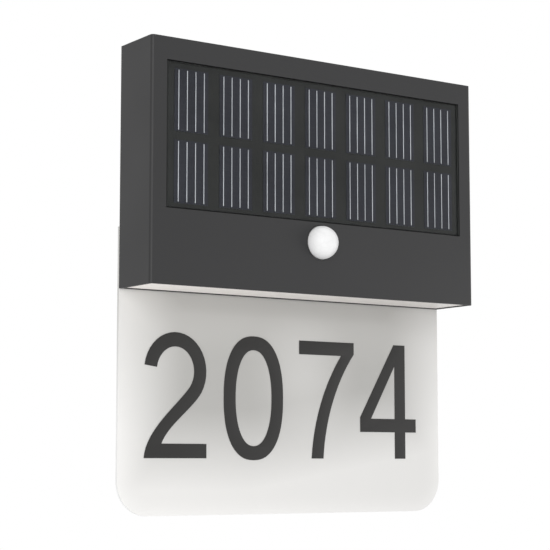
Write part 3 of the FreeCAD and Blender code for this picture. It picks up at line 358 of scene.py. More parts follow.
def solder_mask(name, mask, track, pitch_mm):
    """Lacquer over tracks: a brick pattern with thin joints stands for the runs between the pads."""
    material, tree, place = new_material(name)
    pitch = pitch_mm * MM
    runs = add(tree, "ShaderNodeTexBrick", {
        "Vector": place, "Scale": 1.0, "Color1": (0, 0, 0, 1), "Color2": (0, 0, 0, 1), "Mortar": WHITE,
        "Mortar Size": TRACK_W * pitch, "Brick Width": RUN_L * pitch, "Row Height": pitch})
    shade = add(tree, "ShaderNodeValToRGB", {"Fac": runs})
    for element, code in zip(shade.color_ramp.elements, (mask, track)):
        element.color = linear(code)
    bump = add(tree, "ShaderNodeBump", {"Height": runs, "Strength": 0.6, "Distance": TRACK_UP_MM * MM})
    lacquer = add(tree, "ShaderNodeBsdfPrincipled", {
        "Base Color": shade, "Roughness": 0.3, "Normal": bump})
    show(tree, lacquer)
    return material


green_mask = solder_mask("green_solder_mask_on_glass_fibre", "14462b", "1f6a3f", 1.6)
white_mask = solder_mask("white_solder_mask_on_aluminium", "ecece8", "dcdcd4", 2.5)
print("boards:", green_mask.name, white_mask.name)

# %% [markdown]
# ## Metals
#
# The bracket is stamped from sheet steel and then zinc-plated: rolling leaves faint parallel lines and
# the zinc lies in cloudy patches. The screws are stainless steel, turned and rolled, so their lines
# run round the axis. A metal has no diffuse colour, only a tinted reflection, and its default index of
# refraction is kept.

# %% Sheet steel, screws and ribbons
CLOUD_MM, CLOUD_TONES = 9.0, (0.9, 1.04)  # patches of the plating, and how dark and how pale they are
LINE_DEPTH_MM, LINE_DRIFT = 0.004, 0.07   # depth of the lines, and how much the gloss follows them


def drawn_metal(name, colour, roughness, stretch, line_mm):
    """Metal with fine lines: a noise squeezed across the lines by stretch, in gloss and in bump."""
    material, tree, place = new_material(name)
    along = add(tree, "ShaderNodeMapping", {"Vector": place, "Scale": stretch})
    lines = add(tree, "ShaderNodeTexNoise", {"Vector": along, "Scale": 1 / (line_mm * MM), "Detail": 3.0})
    cloud = add(tree, "ShaderNodeTexNoise", {"Vector": place, "Scale": 1 / (CLOUD_MM * MM)})
    tint = add(tree, "ShaderNodeMapRange", (cloud, *NOISE_SPAN, *CLOUD_TONES))
    shade = add(tree, "ShaderNodeVectorMath", {0: linear(colour)[:3], "Scale": tint}, operation="SCALE")
    gloss = add(tree, "ShaderNodeMapRange", (
        lines, *NOISE_SPAN, roughness - LINE_DRIFT, roughness + LINE_DRIFT))
    bump = add(tree, "ShaderNodeBump", {"Height": lines, "Strength": 0.4, "Distance": LINE_DEPTH_MM * MM})
    metal = add(tree, "ShaderNodeBsdfPrincipled", {
        "Base Color": shade, "Metallic": 1.0, "Roughness": gloss, "Normal": bump})
    show(tree, metal)
    return material


zinc_steel = drawn_metal("rolled_zinc_plated_steel", "b3b6b7", 0.45, (0.06, 1.0, 1.0), 0.5)
screw_steel = drawn_metal("rolled_stainless_steel", "b4b4b6", 0.3, (1.0, 0.3, 1.0), 0.3)
tinned_copper = drawn_metal("hot_tinned_copper_ribbon", "c4c7cb", 0.85, (1.0, 1.0, 0.05), 0.3)
spring_steel = drawn_metal("nickel_plated_spring_steel", "c2beb4", 0.28, (1.0, 1.0, 0.2), 0.4)
print("metals:", zinc_steel.name, screw_steel.name, tinned_copper.name, spring_steel.name)

# %% [markdown]
# ## The solar panel
#
# The panel is a laminate: dark silicon cells, tinned ribbons soldered down them, and a clear satin
# film over everything. The cells are nearly black with a cold tint, and the laminate between them
# is as dark but slightly green. A cell's own silver fingers are far thinner than a pixel here, so they
# are drawn wider than real and faint. The film is not a colour at all: it lets the light through, and
# its satin front adds a broad, weak reflection. A mix of a clear and a glossy shader would pick that
# reflection in only one sample of thirty, which stays noisy. The film is glued down without any
# air below it, so the cells and the laminate carry its reflection as a coat, and the film is only clear.

# %% Silicon, and the film over it
FINGER_PITCH_MM, FINGER_MM = 1.6, 0.18     # drawn wider than the real 0.05 mm
ETCH_MM, HAZE_MM = 2.5, 30.0               # crystal grains of a cell, and clouds of haze in the film


def is_turned_from_y(tree):
    """1 on faces that look along X or Z, such as a sheet's cut edge, and 0 on its front and back."""
    normal = add(tree, "ShaderNodeTexCoord").outputs["Normal"]
    facing = add(tree, "ShaderNodeSeparateXYZ", (normal,)).outputs["Y"]
    flat = add(tree, "ShaderNodeMath", (facing,), operation="ABSOLUTE")
    return add(tree, "ShaderNodeMath", (flat, 0.5), operation="LESS_THAN")


def silicon_cell():
    """Blue-black silicon with faint cross fingers: a wave of height z, sharpened to thin lines."""
    material, tree, place = new_material("textured_blue_black_silicon")
    height = add(tree, "ShaderNodeSeparateXYZ", (place,)).outputs["Z"]
    step = add(tree, "ShaderNodeMath", (height, FINGER_PITCH_MM * MM), operation="PINGPONG")
    finger = add(tree, "ShaderNodeMapRange", (step, 0.0, FINGER_MM * MM, 1.0, 0.0))
    etch = add(tree, "ShaderNodeTexVoronoi", {"Vector": place, "Scale": 1 / (ETCH_MM * MM)})
    tone = add(tree, "ShaderNodeMapRange", (etch, 0.0, 1.0, 0.92, 1.08))
    dark = add(tree, "ShaderNodeVectorMath", {0: linear("20222a")[:3], "Scale": tone}, operation="SCALE")
    shade = add(tree, "ShaderNodeMixRGB", (finger, dark, linear("292b32")))
    cell = add(tree, "ShaderNodeBsdfPrincipled", {
        "Base Color": shade, "Roughness": 0.5, "Specular IOR Level": 0.0, "Coat Weight": 1.0,
        "Coat Roughness": FILM_ROUGH, "Coat IOR": FILM_IOR})
    show(tree, cell)
    return material


def clear_film():
    """Clear film: transparent, with a breath of haze in slow clouds, and a dark cut edge."""
    material, tree, place = new_material("embossed_clear_weatherproof_film")
    cloud = add(tree, "ShaderNodeTexNoise", {"Vector": place, "Scale": 1 / (HAZE_MM * MM)})
    haze = add(tree, "ShaderNodeMapRange", (cloud, *NOISE_SPAN, 0.96, 1.0))
    through = add(tree, "ShaderNodeCombineXYZ", (haze, haze, haze))
    clear = add(tree, "ShaderNodeBsdfTransparent", {"Color": through})
    edge = add(tree, "ShaderNodeBsdfDiffuse", {"Color": linear("484a49")})
    show(tree, add(tree, "ShaderNodeMixShader", (is_turned_from_y(tree), clear, edge)))
    return material


silicon = silicon_cell()
film = clear_film()
print("panel:", silicon.name, film.name)

# %% [markdown]
# ## Opal and frosted acrylic
#
# The strip under the casing is opal acrylic, milky all through, with a faint glow of the light inside.
# Its colour is painted paler at its left end and darker towards its right, as in the photograph: that is
# painted light. The number plate is clear acrylic frosted on its faces. Light that enters at its rim
# travels inside and leaks out near the edges first, so a plate like this is palest along its rim and
# greyest in the middle; here that glow is painted into the plate's colour. The distance to the rounded
# rim is worked out in the shader from Object coordinates. The front also has a painted shadow just below
# the casing, then the painted light of the strip, which fades further down, a soft painted pool of light
# between the middle figures, and a pale foot that is painted light too. All of them are levels between
# the same two colours, a painted shade and a painted light. The back has only the painted glow of the
# rim and is nearly even.

# %% Opal strip
OPAL_CLOUD_MM, OPAL_GLOW = 12.0, 0.06
# Painted light: the strip's colour is paler at its left end and darker towards its right.
OPAL_ENDS, OPAL_PAINTED_LIGHT_TONES = (-0.12, 0.12), (1.04, 0.79)    # from the left end to the right


def opal_acrylic_with_painted_light():
    """Milky acrylic, with painted light that makes it paler at its left end, and the faint glow of the
    light inside.
    """
    material, tree, place = new_material("extruded_opal_acrylic_with_painted_light")
    patch = add(tree, "ShaderNodeTexNoise", {"Vector": place, "Scale": 1 / (OPAL_CLOUD_MM * MM)})
    cloud = add(tree, "ShaderNodeMapRange", (patch, 0.0, 1.0, 0.98, 1.02))
    across = add(tree, "ShaderNodeSeparateXYZ", (place,)).outputs["X"]
    painted_light_fade = add(tree, "ShaderNodeMapRange", (across, *OPAL_ENDS, *OPAL_PAINTED_LIGHT_TONES))
    tone = add(tree, "ShaderNodeMath", (cloud, painted_light_fade), operation="MULTIPLY")
    shade = add(tree, "ShaderNodeVectorMath", {0: linear("f7f3ef")[:3], "Scale": tone}, operation="SCALE")
    acrylic = add(tree, "ShaderNodeBsdfPrincipled", {
        "Base Color": shade, "Roughness": 0.4, "IOR": 1.49, "Specular IOR Level": 0.4,
        "Emission Color": linear("fff6ee"), "Emission Strength": OPAL_GLOW})
    show(tree, acrylic)
    return material


opal = opal_acrylic_with_painted_light()
print("strip:", opal.name)

# %% How far a point is from the plate's rim
PLATE_CORNER_MM = 22.0


def depth_from_rim(tree, place):
    """Distance to the outline of a rounded box: the length past the corner's middle, less its radius."""
    middle, half = (plate_low + plate_high) / 2, (plate_high - plate_low) / 2
    corner = PLATE_CORNER_MM * MM
    straight = (half.x - corner, 1.0, half.z - corner)
    centred = add(tree, "ShaderNodeVectorMath", (place, middle), operation="SUBTRACT")
    folded = add(tree, "ShaderNodeVectorMath", (centred,), operation="ABSOLUTE")
    past = add(tree, "ShaderNodeVectorMath", (folded, straight), operation="SUBTRACT")
    outside = add(tree, "ShaderNodeVectorMath", (past, (0, 0, 0)), operation="MAXIMUM")
    reach = add(tree, "ShaderNodeVectorMath", (outside,), operation="LENGTH").outputs["Value"]
    axes = add(tree, "ShaderNodeSeparateXYZ", (past,)).outputs
    nearest = add(tree, "ShaderNodeMath", (axes["X"], axes["Z"]), operation="MAXIMUM")
    inside = add(tree, "ShaderNodeMath", (nearest, 0.0), operation="MINIMUM")
    signed = add(tree, "ShaderNodeMath", (reach, inside), operation="ADD")
    return add(tree, "ShaderNodeMath", (corner, signed), operation="SUBTRACT")


print("corner radius of the plate", PLATE_CORNER_MM, "mm")

# %% How pale the plate is painted: level 0 is its painted shade, level 1 its painted light
# All levels below are painted light and shade in the plate's colour: the rim's glow, the casing's shadow,
# the strip's light, the pool and the pale foot.
SIDES_MM = (-130.0, 130.0)                              # across, from the plate's left side to its right
GLOW_MM = 50.0                                          # how far the rim's glow reaches inwards
GLOW_SIDES, GLOW_FOOT = (0.6995, 0.6605), 1.02          # its strength at the top, left and right, and below
GLOW_DROP_MM = (7.0, 92.0)                              # drop below the casing between those two
SHADOW_DROP_MM, SHADOW_LEVELS = (1.0, 14.0), (-0.04, 0.15)   # out of the casing's shadow
STRIP_DROP_MM, STRIP_LEVELS = (17.0, 44.0), (0.15, 0.02)     # the light of the strip fades
FOOT_DROP_MM, FOOT_LEVEL = (74.0, 127.0), 0.84               # the pale foot begins and is full
RISE_ACROSS_MM, RISE_MM = (-30.0, 130.0), 27.0          # the pale foot starts higher towards the right
POOL_ACROSS_MM, POOL_DROP_MM, POOL_LEVEL = 13.0, 52.0, 0.32   # the pool's middle and strength
POOL_HALF_MM = (50.0, 55.0)                             # half its width and half its height
MEETING = 0.2                                           # how softly the rim's glow meets the other light
BACK_LEVEL, BACK_GLOW = 0.6, 0.2                        # of the back, in the middle and more at the rim


def painted_light_pool(tree, place):
    """An oval spot of painted light: 1 in its middle and 0 where (dx / a)^2 + (dz / b)^2 reaches 1."""
    middle = (POOL_ACROSS_MM * MM, 0.0, casing_foot - POOL_DROP_MM * MM)
    half = (POOL_HALF_MM[0] * MM, 1.0, POOL_HALF_MM[1] * MM)
    away = add(tree, "ShaderNodeVectorMath", (place, middle), operation="SUBTRACT")
    share = add(tree, "ShaderNodeVectorMath", (away, half), operation="DIVIDE")
    reach = add(tree, "ShaderNodeVectorMath", (share,), operation="LENGTH").outputs["Value"]
    return add(tree, "ShaderNodeMapRange", (reach, 1.0, 0.0, 0.0, 1.0), interpolation_type="SMOOTHSTEP")


def painted_light_on_front(tree, place, across, drop, glow):
    """Painted light on the front: the rim's glow or the light from above and below, whichever is more, and
    the pool on top.
    """
    side = add(tree, "ShaderNodeMapRange", (across, *SIDES_MM, *GLOW_SIDES))
    strength = add(tree, "ShaderNodeMapRange", (drop, *GLOW_DROP_MM, side, GLOW_FOOT))
    rim = add(tree, "ShaderNodeMath", (glow, strength), operation="MULTIPLY")
    shadow = add(tree, "ShaderNodeMapRange", (drop, *SHADOW_DROP_MM, *SHADOW_LEVELS))
    strip = add(tree, "ShaderNodeMapRange", (drop, *STRIP_DROP_MM, *STRIP_LEVELS))
    above = add(tree, "ShaderNodeMath", (shadow, strip), operation="MINIMUM")
    rise = add(tree, "ShaderNodeMapRange", (across, *RISE_ACROSS_MM, 0.0, RISE_MM))
    lower = add(tree, "ShaderNodeMath", (drop, rise), operation="ADD")
    foot = add(tree, "ShaderNodeMapRange", (lower, *FOOT_DROP_MM, 0.0, FOOT_LEVEL))
    lit = add(tree, "ShaderNodeMath", (above, foot), operation="ADD")
    pale = add(tree, "ShaderNodeMath", (rim, lit, MEETING), operation="SMOOTH_MAX")
    pool = painted_light_pool(tree, place)
    return add(tree, "ShaderNodeMath", (pool, POOL_LEVEL, pale), operation="MULTIPLY_ADD", use_clamp=True)


print("the pool's middle lies", POOL_DROP_MM, "mm below the casing")

# %% Frosted plate
# The plate's two colours are a painted shade and a painted light; its cut edge is painted darker near the
# casing and paler downwards.
PLATE_PAINTED_SHADE, PLATE_PAINTED_LIGHT = "b1b0ad", "efeeec"
EDGE_PAINTED_SHADE, EDGE_PAINTED_LIGHT, EDGE_DROP_MM = "d8d7d4", "fcfcfb", (-3.0, 92.0)   # the cut edge gets paler downwards
FROST_MM, FROST_DEPTH_MM = 0.3, 0.01


def frosted_acrylic_with_painted_light():
    """Frosted acrylic: its faces between painted shade and painted light by their level, and its cut edge
    nearly white.
    """
    material, tree, place = new_material("satin_frosted_acrylic_with_painted_light")
    axes = add(tree, "ShaderNodeSeparateXYZ", (place,)).outputs
    across = add(tree, "ShaderNodeMath", (axes["X"], 1 / MM), operation="MULTIPLY")
    drop = add(tree, "ShaderNodeMath", (axes["Z"], -1 / MM, casing_foot / MM), operation="MULTIPLY_ADD")
    glow = add(tree, "ShaderNodeMapRange", (depth_from_rim(tree, place), GLOW_MM * MM, 0.0, 0.0, 1.0))
    front = painted_light_on_front(tree, place, across, drop, glow)
    back = add(tree, "ShaderNodeMath", (glow, BACK_GLOW, BACK_LEVEL), operation="MULTIPLY_ADD")
    normal = add(tree, "ShaderNodeTexCoord").outputs["Normal"]
    facing = add(tree, "ShaderNodeSeparateXYZ", (normal,)).outputs["Y"]
    level = add(tree, "ShaderNodeMapRange", (facing, -0.5, 0.5, front, back))
    face = add(tree, "ShaderNodeMixRGB", (level, linear(PLATE_PAINTED_SHADE), linear(PLATE_PAINTED_LIGHT)))
    down = add(tree, "ShaderNodeMapRange", (drop, *EDGE_DROP_MM, 0.0, 1.0), interpolation_type="SMOOTHSTEP")
    edge = add(tree, "ShaderNodeMixRGB", (down, linear(EDGE_PAINTED_SHADE), linear(EDGE_PAINTED_LIGHT)))
    shade = add(tree, "ShaderNodeMixRGB", (is_turned_from_y(tree), face, edge))
    frost = add(tree, "ShaderNodeTexNoise", {"Vector": place, "Scale": 1 / (FROST_MM * MM)})
    bump = add(tree, "ShaderNodeBump", {"Height": frost, "Strength": 0.3, "Distance": FROST_DEPTH_MM * MM})
    acrylic = add(tree, "ShaderNodeBsdfPrincipled", {
        "Base Color": shade, "Roughness": 0.5, "IOR": 1.49, "Specular IOR Level": 0.3, "Normal": bump})
    show(tree, acrylic)
    return material


frosted = frosted_acrylic_with_painted_light()
print("plate:", frosted.name)

# %% [markdown]
# ## Finishing the drawn pieces
#
# Most pieces keep the shape that the drawing gives them, and only need their finish. A table of piece
# and finish is easy to read and easy to extend. The pieces that later cells replace aren't in it.

# %% Hand out the finishes
FINISHES = {
    anthracite_abs: ["front_casing"],
    cover_abs: ["rear_cover"],
    door_abs: ["battery_door"],
    frosted: ["number_plate"],
    opal: ["diffuser"],
    film: ["solar_front_sheet"],
    silicon: ["solar_cells"],
    laminate: ["solar_backing_board"],
    foam: ["solar_panel_tape"],
    zinc_steel: ["wall_bracket"],
    spring_steel: ["battery_contacts", "motion_sensor"],
    screw_steel: ["sensor_retainer_screws", "sensor_board_screws", "light_screws",
                  "control_board_screws"],
    black_silicone: ["rear_cover_seal", "sensor_lens_gasket", "led_grommet", "battery_door_seal"],
    grey_pvc: ["led_lead", "sensor_lead", "panel_lead"],
    red_pvc: ["battery_leads"],
    shrink_wrap: ["battery_cell"],
    reflector_abs: ["reflector", "sensor_lens_retainer"],
    green_mask: ["sensor_board", "control_board"],
    white_mask: ["led_board"],
    phosphor: ["leds"],
    nylon: ["board_connectors", "switch_plunger"],
    epoxy: ["board_parts", "push_switch"],
}
for material, names in FINISHES.items():
    for name in names:
        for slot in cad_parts[name].material_slots:
            slot.material = material
print("finished", sum(len(names) for names in FINISHES.values()), "nodes")

# %% [markdown]
# ## Curved pieces as surfaces
#
# A turned piece, such as a dome or a screw head, is a profile carried round an axis. Both are kept
# as arrays: the profile gives radius and depth, the turn gives the angle, and their product is
# the whole grid of points at once. Where the profile starts on the axis its ring
# shrinks to one point, so the doubled points there are merged, which closes the pole.

# %% Close and finish a grid
import bmesh

MERGE_MM, SLIVER_MM, SHARP_DEG = 0.002, 0.001, 35.0


def close_and_smooth(piece):
    """Merges doubled points, turns the faces outwards and shades smoothly except over sharp edges."""
    shape = bmesh.new()
    shape.from_mesh(piece.data)
    bmesh.ops.remove_doubles(shape, verts=shape.verts, dist=MERGE_MM * MM)
    bmesh.ops.dissolve_degenerate(shape, edges=shape.edges, dist=SLIVER_MM * MM)
    bmesh.ops.recalc_face_normals(shape, faces=shape.faces)
    shape.to_mesh(piece.data)
    shape.free()
    piece.data.shade_smooth()
    piece.data.set_sharp_from_angle(angle=np.radians(SHARP_DEG))
    return piece


def turned(name, profile, centre, spokes):
    """A profile of (radius, depth) in mm turned about Y: x = r cos a, z = r sin a, y = depth."""
    radius, depth = np.array(profile).T[:, :, None] * MM
    angle = np.linspace(0, 2 * np.pi, spokes, endpoint=False)[None, :]
    points = np.stack([centre[0] + radius * np.cos(angle),
                       centre[1] + depth + 0 * angle,
                       centre[2] + radius * np.sin(angle)], axis=-1)
    return close_and_smooth(ring_mesh(name, points))


print("edges sharper than", SHARP_DEG, "degrees stay sharp")

# %% [markdown]
# ## The sensor dome
#
# The lens of the motion sensor is moulded from opal polyethylene, thin enough for heat to pass. From
# outside it is a plain half ball with a satin skin. Inside it is cut into small facets, which
# show through only as a faint net. The drawn ball is made of flat facets, so a turned one
# takes its place: a half circle for the ball, then the neck and the clamped flange.

# %% Turn the dome
DOME_WALL_MM, DOME_STEPS, DOME_SPOKES = 1.2, 33, 72
FLANGE_R_MM, FLANGE_T_MM = 14.2, 1.4
FACET_MM, FACET_SEAM = 4.5, 0.12


def dome_profile():
    """Outer half circle, neck, flange, and the inner half circle back, as (radius, depth) in mm."""
    outer = dome_radius / MM
    inner = outer - DOME_WALL_MM
    back = (lens_high.y - casing_front) / MM
    front = back - FLANGE_T_MM
    swing = np.linspace(0, np.pi / 2, DOME_STEPS)
    ball = np.stack([outer * np.sin(swing), -outer * np.cos(swing)], axis=1)
    hollow = np.stack([inner * np.sin(swing), -inner * np.cos(swing)], axis=1)[::-1]
    flange = [(outer, front), (FLANGE_R_MM, front), (FLANGE_R_MM, back), (inner, back)]
    return np.concatenate([ball, np.array(flange), hollow])


def polyethylene():
    """Milky polyethylene: white all through, satin, with a faint net where the inner facets meet."""
    material, tree, place = new_material("moulded_opal_polyethylene")
    facet = add(tree, "ShaderNodeTexVoronoi", {"Vector": place, "Scale": 1 / (FACET_MM * MM)},
                feature="DISTANCE_TO_EDGE")
    net = add(tree, "ShaderNodeMapRange", (facet, 0.0, FACET_SEAM, 0.97, 1.0),
              interpolation_type="SMOOTHSTEP")
    shade = add(tree, "ShaderNodeVectorMath", {0: linear("f6f6f6")[:3], "Scale": net}, operation="SCALE")
    skin = add(tree, "ShaderNodeBsdfPrincipled", {
        "Base Color": shade, "Roughness": 0.42, "IOR": 1.5, "Specular IOR Level": 0.5})
    show(tree, skin)
    return material


sensor_dome = turned("sensor_dome", dome_profile(), dome_centre, DOME_SPOKES)
sensor_dome.data.materials.append(polyethylene())
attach(sensor_dome, LAMP)
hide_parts("sensor_lens")
print("dome with", len(sensor_dome.data.polygons), "faces")

# %% [markdown]
# ## The ribbons on the cells
#
# Each cell is soldered to four flat ribbons of tinned copper wire. Such a wire is rolled from a round
# one, so its edges stay round, and each ribbon shows as a thin bright line with soft sides. In the
# drawing a ribbon is a plain strip that touches the film above it face to face. Two faces in one plane
# can spoil a render, because a ray may meet either of them first, so the rounded ribbons are a
# hundredth of a millimetre thinner on each side. Their places are read from the drawn strips.

# %% Roll the ribbons
RIBBON_CLEAR_MM, RIBBON_POWER, RIBBON_POINTS = 0.01, 4.0, 16
RIBBON_SWELL = np.array([0, 1, 1, 0])[:, None]       # a ribbon is a point, its section, and a point again
RIBBON_END = np.array([-1, -1, 1, 1])[:, None]       # its first two rings are at its foot


def superellipse(centre, half, power, count):
    """A closed loop between an ellipse and a rectangle: |x/a|^n + |y/b|^n = 1."""
    t = np.linspace(0, 2 * np.pi, count, endpoint=False)
    x = np.sign(np.cos(t)) * np.abs(np.cos(t)) ** (2 / power)
    y = np.sign(np.sin(t)) * np.abs(np.sin(t)) ** (2 / power)
    return np.stack([centre[0] + half[0] * x, centre[1] + half[1] * y], axis=1)


def corner_points(node):
    """All corners of a drawn node, one row of x, y, z for each."""
    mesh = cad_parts[node].data
    corners = np.empty(len(mesh.vertices) * 3)
    mesh.vertices.foreach_get("co", corners)
    return corners.reshape(-1, 3)


def edge_pairs(values):
    """Sorted places of the edges of equal strips in a row, as (middle, half width) of each strip."""
    edges = np.unique(values.round(6)).reshape(-1, 2)
    return edges.mean(axis=1), (edges[:, 1] - edges[:, 0]) / 2


def rolled_ribbons(name, node):
    """Flat wires along Z with a superellipse as their section, closed by a point at each end."""
    x, y, z = corner_points(node).T
    across, half_w = edge_pairs(x)
    height, half_l = edge_pairs(z)
    half_t = np.ptp(y) / 2 - RIBBON_CLEAR_MM * MM
    side, front = superellipse((0, 0), (half_w[0], half_t), RIBBON_POWER, RIBBON_POINTS).T
    shape = (len(height), len(across), len(RIBBON_SWELL), RIBBON_POINTS)
    places = (across[:, None, None] + RIBBON_SWELL * side,
              (y.min() + y.max()) / 2 + RIBBON_SWELL * front,
              height[:, None, None, None] + RIBBON_END * half_l[0])
    points = np.stack([np.broadcast_to(place, shape) for place in places], axis=-1)
    return close_and_smooth(ring_mesh(name, points))


ribbons = rolled_ribbons("rolled_ribbons", "solar_ribbons")
ribbons.data.materials.append(tinned_copper)
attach(ribbons, LAMP)
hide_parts("solar_ribbons")
print("ribbons with", len(ribbons.data.polygons), "faces")

# %% [markdown]
# ## The house figures
#
# The number is cut from a matt anthracite film and stuck to the front of the plate. The
# figures are plain, of one stroke width, as on any house. Each outline is a flat curve whose inner
# loops are holes. Straight parts need only their corners, and round parts are an ellipse,
# a superellipse or a cubic curve, worked out as arrays. The curve is given the thickness of
# the film with a tiny bevel and made a mesh before it is moved to its place.

# %% Outlines of the figures, in mm from the foot of each figure
FIGURE_H, STROKE = 79.2, 9.2


def ellipse(centre, half, start_deg, end_deg, count=24):
    """Points of an ellipse between two angles: centre + (a cos t, b sin t)."""
    t = np.radians(np.linspace(start_deg, end_deg, count))
    return np.stack([centre[0] + half[0] * np.cos(t), centre[1] + half[1] * np.sin(t)], axis=1)


def cubic(start, pull_a, pull_b, end, count=16):
    """Points of a cubic Bezier curve from start to end, without its first point."""
    t = np.linspace(0, 1, count + 1)[1:, None]
    a, b, c, d = (np.array(point, dtype=float) for point in (start, pull_a, pull_b, end))
    return (1 - t) ** 3 * a + 3 * (1 - t) ** 2 * t * b + 3 * (1 - t) * t ** 2 * c + t ** 3 * d


def figure_two():
    """An open bowl, a sweep down to the left, and a straight foot."""
    middle, half = (23.0, 55.6), (23.2, 25.0)
    slim = (half[0] - STROKE, half[1] - STROKE)
    outer = ellipse(middle, half, 172, -33)
    inner = ellipse(middle, slim, -38, 172)
    sweep_out = cubic(outer[-1], (35.6, 31.5), (17.5, 21.0), (12.8, STROKE))
    foot = np.array([(46.5, STROKE), (46.5, 0.0), (0.0, 0.0)])
    sweep_in = cubic((0.0, 0.0), (1.0, 18.0), (25.6, 34.5), inner[0])[:-1]
    return [np.concatenate([outer, sweep_out, foot, sweep_in, inner])]


def figure_zero():
    """A tall ring between two superellipses."""
    middle, half = (23.5, FIGURE_H / 2), (23.5, FIGURE_H / 2 + 1.2)
    slim = (half[0] - STROKE, half[1] - STROKE)
    return [superellipse(middle, half, 2.35, 72), superellipse(middle, slim, 2.2, 72)]


def figure_seven():
    """A straight bar and a stem that bends gently down to the left."""
    bar = np.array([(0.0, FIGURE_H), (46.0, FIGURE_H), (46.0, FIGURE_H - 8.0)])
    right = cubic(bar[-1], (31.0, 52.0), (21.5, 26.0), (20.0, 0.0))
    left = cubic((10.2, 0.0), (12.0, 26.0), (21.0, 50.0), (35.2, FIGURE_H - STROKE))
    return [np.concatenate([bar, right, [(10.2, 0.0)], left, [(0.0, FIGURE_H - STROKE)]])]


def figure_four():
    """A slanted stroke, a bar and an upright, with a three-cornered window."""
    low, high = 18.3, 18.3 + STROKE
    right, left = 39.5, 30.3
    upright = [(29.6, FIGURE_H), (right, FIGURE_H), (right, high), (49.0, high), (49.0, low), (right, low)]
    foot = [(right, 0.0), (left, 0.0), (left, low), (0.0, low), (0.0, high + 0.8)]
    window = [(left, 64.5), (left, high), (9.4, high)]
    return [np.array(upright + foot), np.array(window)]


print("a two has", len(figure_two()[0]), "points")

# %% Cut the figures out of the film
FILM_MM, FILM_BEVEL_MM = 0.3, 0.04
FIGURES_IN_MM, FIGURES_UP_MM = 19.0, 36.4        # from the plate's left side and from its foot
FIGURES = [("figure_two", figure_two, 0.0), ("figure_zero", figure_zero, 59.7),
           ("figure_seven", figure_seven, 120.0), ("figure_four", figure_four, 171.4)]


def cut_from_film(name, loops, left_mm):
    """Fills the loops, gives them the film's thickness and sets the mesh on the plate's front."""
    curve = bpy.data.curves.new(name, "CURVE")
    curve.dimensions = "2D"
    curve.fill_mode = "BOTH"
    curve.extrude = (FILM_MM / 2 - FILM_BEVEL_MM) * MM
    curve.bevel_depth = FILM_BEVEL_MM * MM
    curve.offset = -FILM_BEVEL_MM * MM
    for loop in loops:
        spline = curve.splines.new("POLY")
        spline.points.add(len(loop) - 1)
        flat = np.concatenate([loop * MM, np.zeros((len(loop), 1)), np.ones((len(loop), 1))], axis=1)
        spline.points.foreach_set("co", flat.ravel())
        spline.use_cyclic_u = True
    pattern = bpy.data.objects.new(name + "_curve", curve)
    mesh = bpy.data.meshes.new_from_object(pattern)
    points = np.empty(len(mesh.vertices) * 3)
    mesh.vertices.foreach_get("co", points)
    across, up, out = points.reshape(-1, 3).T
    placed = np.stack([plate_low.x + (FIGURES_IN_MM + left_mm) * MM + across,
                       plate_front - FILM_MM * MM / 2 - out,
                       plate_low.z + FIGURES_UP_MM * MM + up], axis=1)
    mesh.vertices.foreach_set("co", placed.ravel())
    bpy.data.objects.remove(pattern)
    made = bpy.data.objects.new(name, mesh)
    bpy.context.collection.objects.link(made)
    return close_and_smooth(made)


figure_film = moulded_plastic("calendered_anthracite_film", "242322", 0.55, 0.35,
                              grain_mm=0.6, depth_mm=0.004)
for name, outline, left_mm in FIGURES:
    figure = cut_from_film(name, outline(), left_mm)
    figure.data.materials.append(figure_film)
    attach(figure, LAMP)
    print(name, "with", len(figure.data.polygons), "faces")

# %% [markdown]
# ## Screws and the button
#
# The screws in the back are countersunk, with a cross recess. A head is a grid of rings and spokes: each
# point starts on the flat face and is pushed in where it lies in one of the two arms of the cross. All
# screws of one size are made at once, as one grid per screw. The button is a moulded silicone cap
# with a rounded rim and a shallow dish for the finger.

# %% Countersunk screws with a cross recess
HEAD_SPOKES, HEAD_RINGS = 48, 15
HEAD_REACH_MM = 8.0                                      # corners nearer than this are of one head
FLUSH_MM = 0.01                                          # corners this near the back are of a head's face
RIM_IN_MM, RIM_SOFT_MM, RIM_LOW_MM = 0.12, 0.08, 0.2     # the face's rim is broken, and ends in a thin land
TIP_IN_MM, TIP_LONG_MM = 0.6, 0.8                        # blunt point
ARM, SLOT, DEEP = 0.62, 0.14, 0.42                       # cross: shares of the head's radius and height
LEAN_MM, ARM_LEAN_MM = 0.2, 0.35                         # its walls lean by this much


def cross_recess(across, up, arm_mm, slot_mm, deep_mm):
    """Depth of a cross at each point, in mm: full inside both arms, with walls that lean."""
    near, far = np.minimum(np.abs(across), np.abs(up)), np.maximum(np.abs(across), np.abs(up))
    return deep_mm * np.clip((slot_mm - near) / LEAN_MM, 0, 1) * np.clip((arm_mm - far) / ARM_LEAN_MM, 0, 1)


def countersunk_screws(name, places, back, head_r, head_h, shank_r, length):
    """Screws along Y at each (x, z): face of radius head_r at back, cone, shank and point, in mm."""
    face = np.linspace(0, head_r - RIM_IN_MM, HEAD_RINGS)
    radius = np.concatenate([face, [head_r, head_r, shank_r, shank_r, shank_r - TIP_IN_MM, 0]])
    shank = [RIM_SOFT_MM, RIM_LOW_MM, head_h, length - TIP_LONG_MM, length, length]
    depth = np.concatenate([0 * face, shank])
    angle = np.linspace(0, 2 * np.pi, HEAD_SPOKES, endpoint=False)
    across, up = radius[:, None] * np.cos(angle), radius[:, None] * np.sin(angle)
    recess = cross_recess(across, up, ARM * head_r, SLOT * head_r, DEEP * head_h)
    inwards = depth[:, None] + recess * (depth == 0)[:, None]
    centre = np.array(places)[:, None, None, :]
    points = np.stack([centre[..., 0] + across * MM, back - inwards * MM + 0 * centre[..., 0],
                       centre[..., 1] + up * MM], axis=-1)
    made = close_and_smooth(ring_mesh(name, points))
    made.data.materials.append(screw_steel)
    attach(made, LAMP)
    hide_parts(name.replace("turned_", ""))


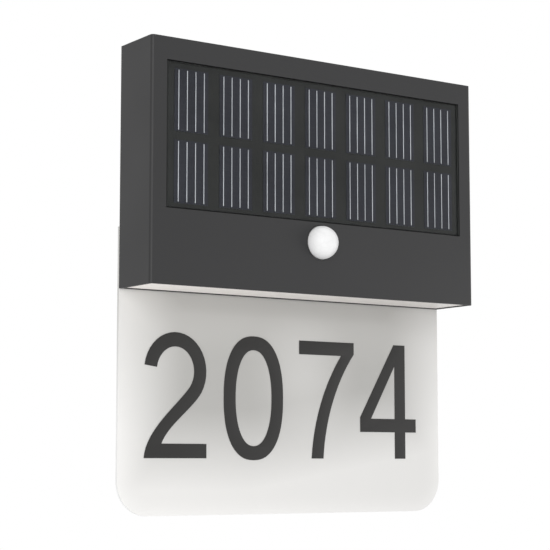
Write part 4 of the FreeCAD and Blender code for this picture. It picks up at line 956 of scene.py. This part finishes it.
def head_centres(node):
    """Middles (x, z) of the heads in a node, each the mean of its own corners, and the y of the faces."""
    corners = corner_points(node)
    back = corners[:, 1].max()
    rim = np.unique(corners[corners[:, 1] > back - FLUSH_MM * MM][:, [0, 2]].round(6), axis=0)
    near = np.linalg.norm(rim[:, None] - rim[None], axis=-1) < HEAD_REACH_MM * MM
    middles = near @ rim / near.sum(axis=1, keepdims=True)
    return np.unique(middles.round(5), axis=0), back


places, back = head_centres("rear_cover_screws")
countersunk_screws("turned_rear_cover_screws", places, back, 2.75, 1.5, 1.25, 14.0)
print(len(places), "cover screws")
places, back = head_centres("plate_screws")
countersunk_screws("turned_plate_screws", places, back, 3.25, 1.4, 1.75, 9.5)
print(len(places), "plate screws")

# %% Turn the button
CAP_R, CAP_ROUND, CAP_L = 4.5, 0.6, 5.4
DISH_R, DISH_DEEP = 3.4, 0.35
COLLAR_R, COLLAR_T, STEM_R = 5.4, 0.9, 1.4
BUTTON_SPOKES, DISH_STEPS, ROUND_STEPS = 48, 8, 7
button_low, button_high = (Vector(corner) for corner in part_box("mode_button"))
button_middle = (button_low + button_high) / 2


def button_profile():
    """Dished face, rounded rim, skirt, collar and stem, as (radius, depth below the face) in mm."""
    dish = np.linspace(0, DISH_R, DISH_STEPS)
    bowl = np.stack([dish, DISH_DEEP * (1 - (dish / DISH_R) ** 2)], axis=1)
    swing = np.linspace(0, np.pi / 2, ROUND_STEPS)
    rim = np.stack([CAP_R - CAP_ROUND * (1 - np.sin(swing)), CAP_ROUND * (1 - np.cos(swing))], axis=1)
    tip, foot = (button_high.y - button_low.y) / MM, CAP_L + COLLAR_T
    collar = [(CAP_R, CAP_L), (COLLAR_R, CAP_L), (COLLAR_R, foot), (STEM_R, foot)]
    return np.concatenate([bowl, rim, np.array(collar + [(STEM_R, tip), (0, tip)])]) * (1, -1)


face_middle = (button_middle.x, button_high.y, button_middle.z)
button_cap = turned("button_cap", button_profile(), face_middle, BUTTON_SPOKES)
button_cap.data.materials.append(grey_silicone)
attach(button_cap, BUTTON)
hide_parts("mode_button")
print("button", round((button_high.y - button_low.y) / MM, 1), "mm long")
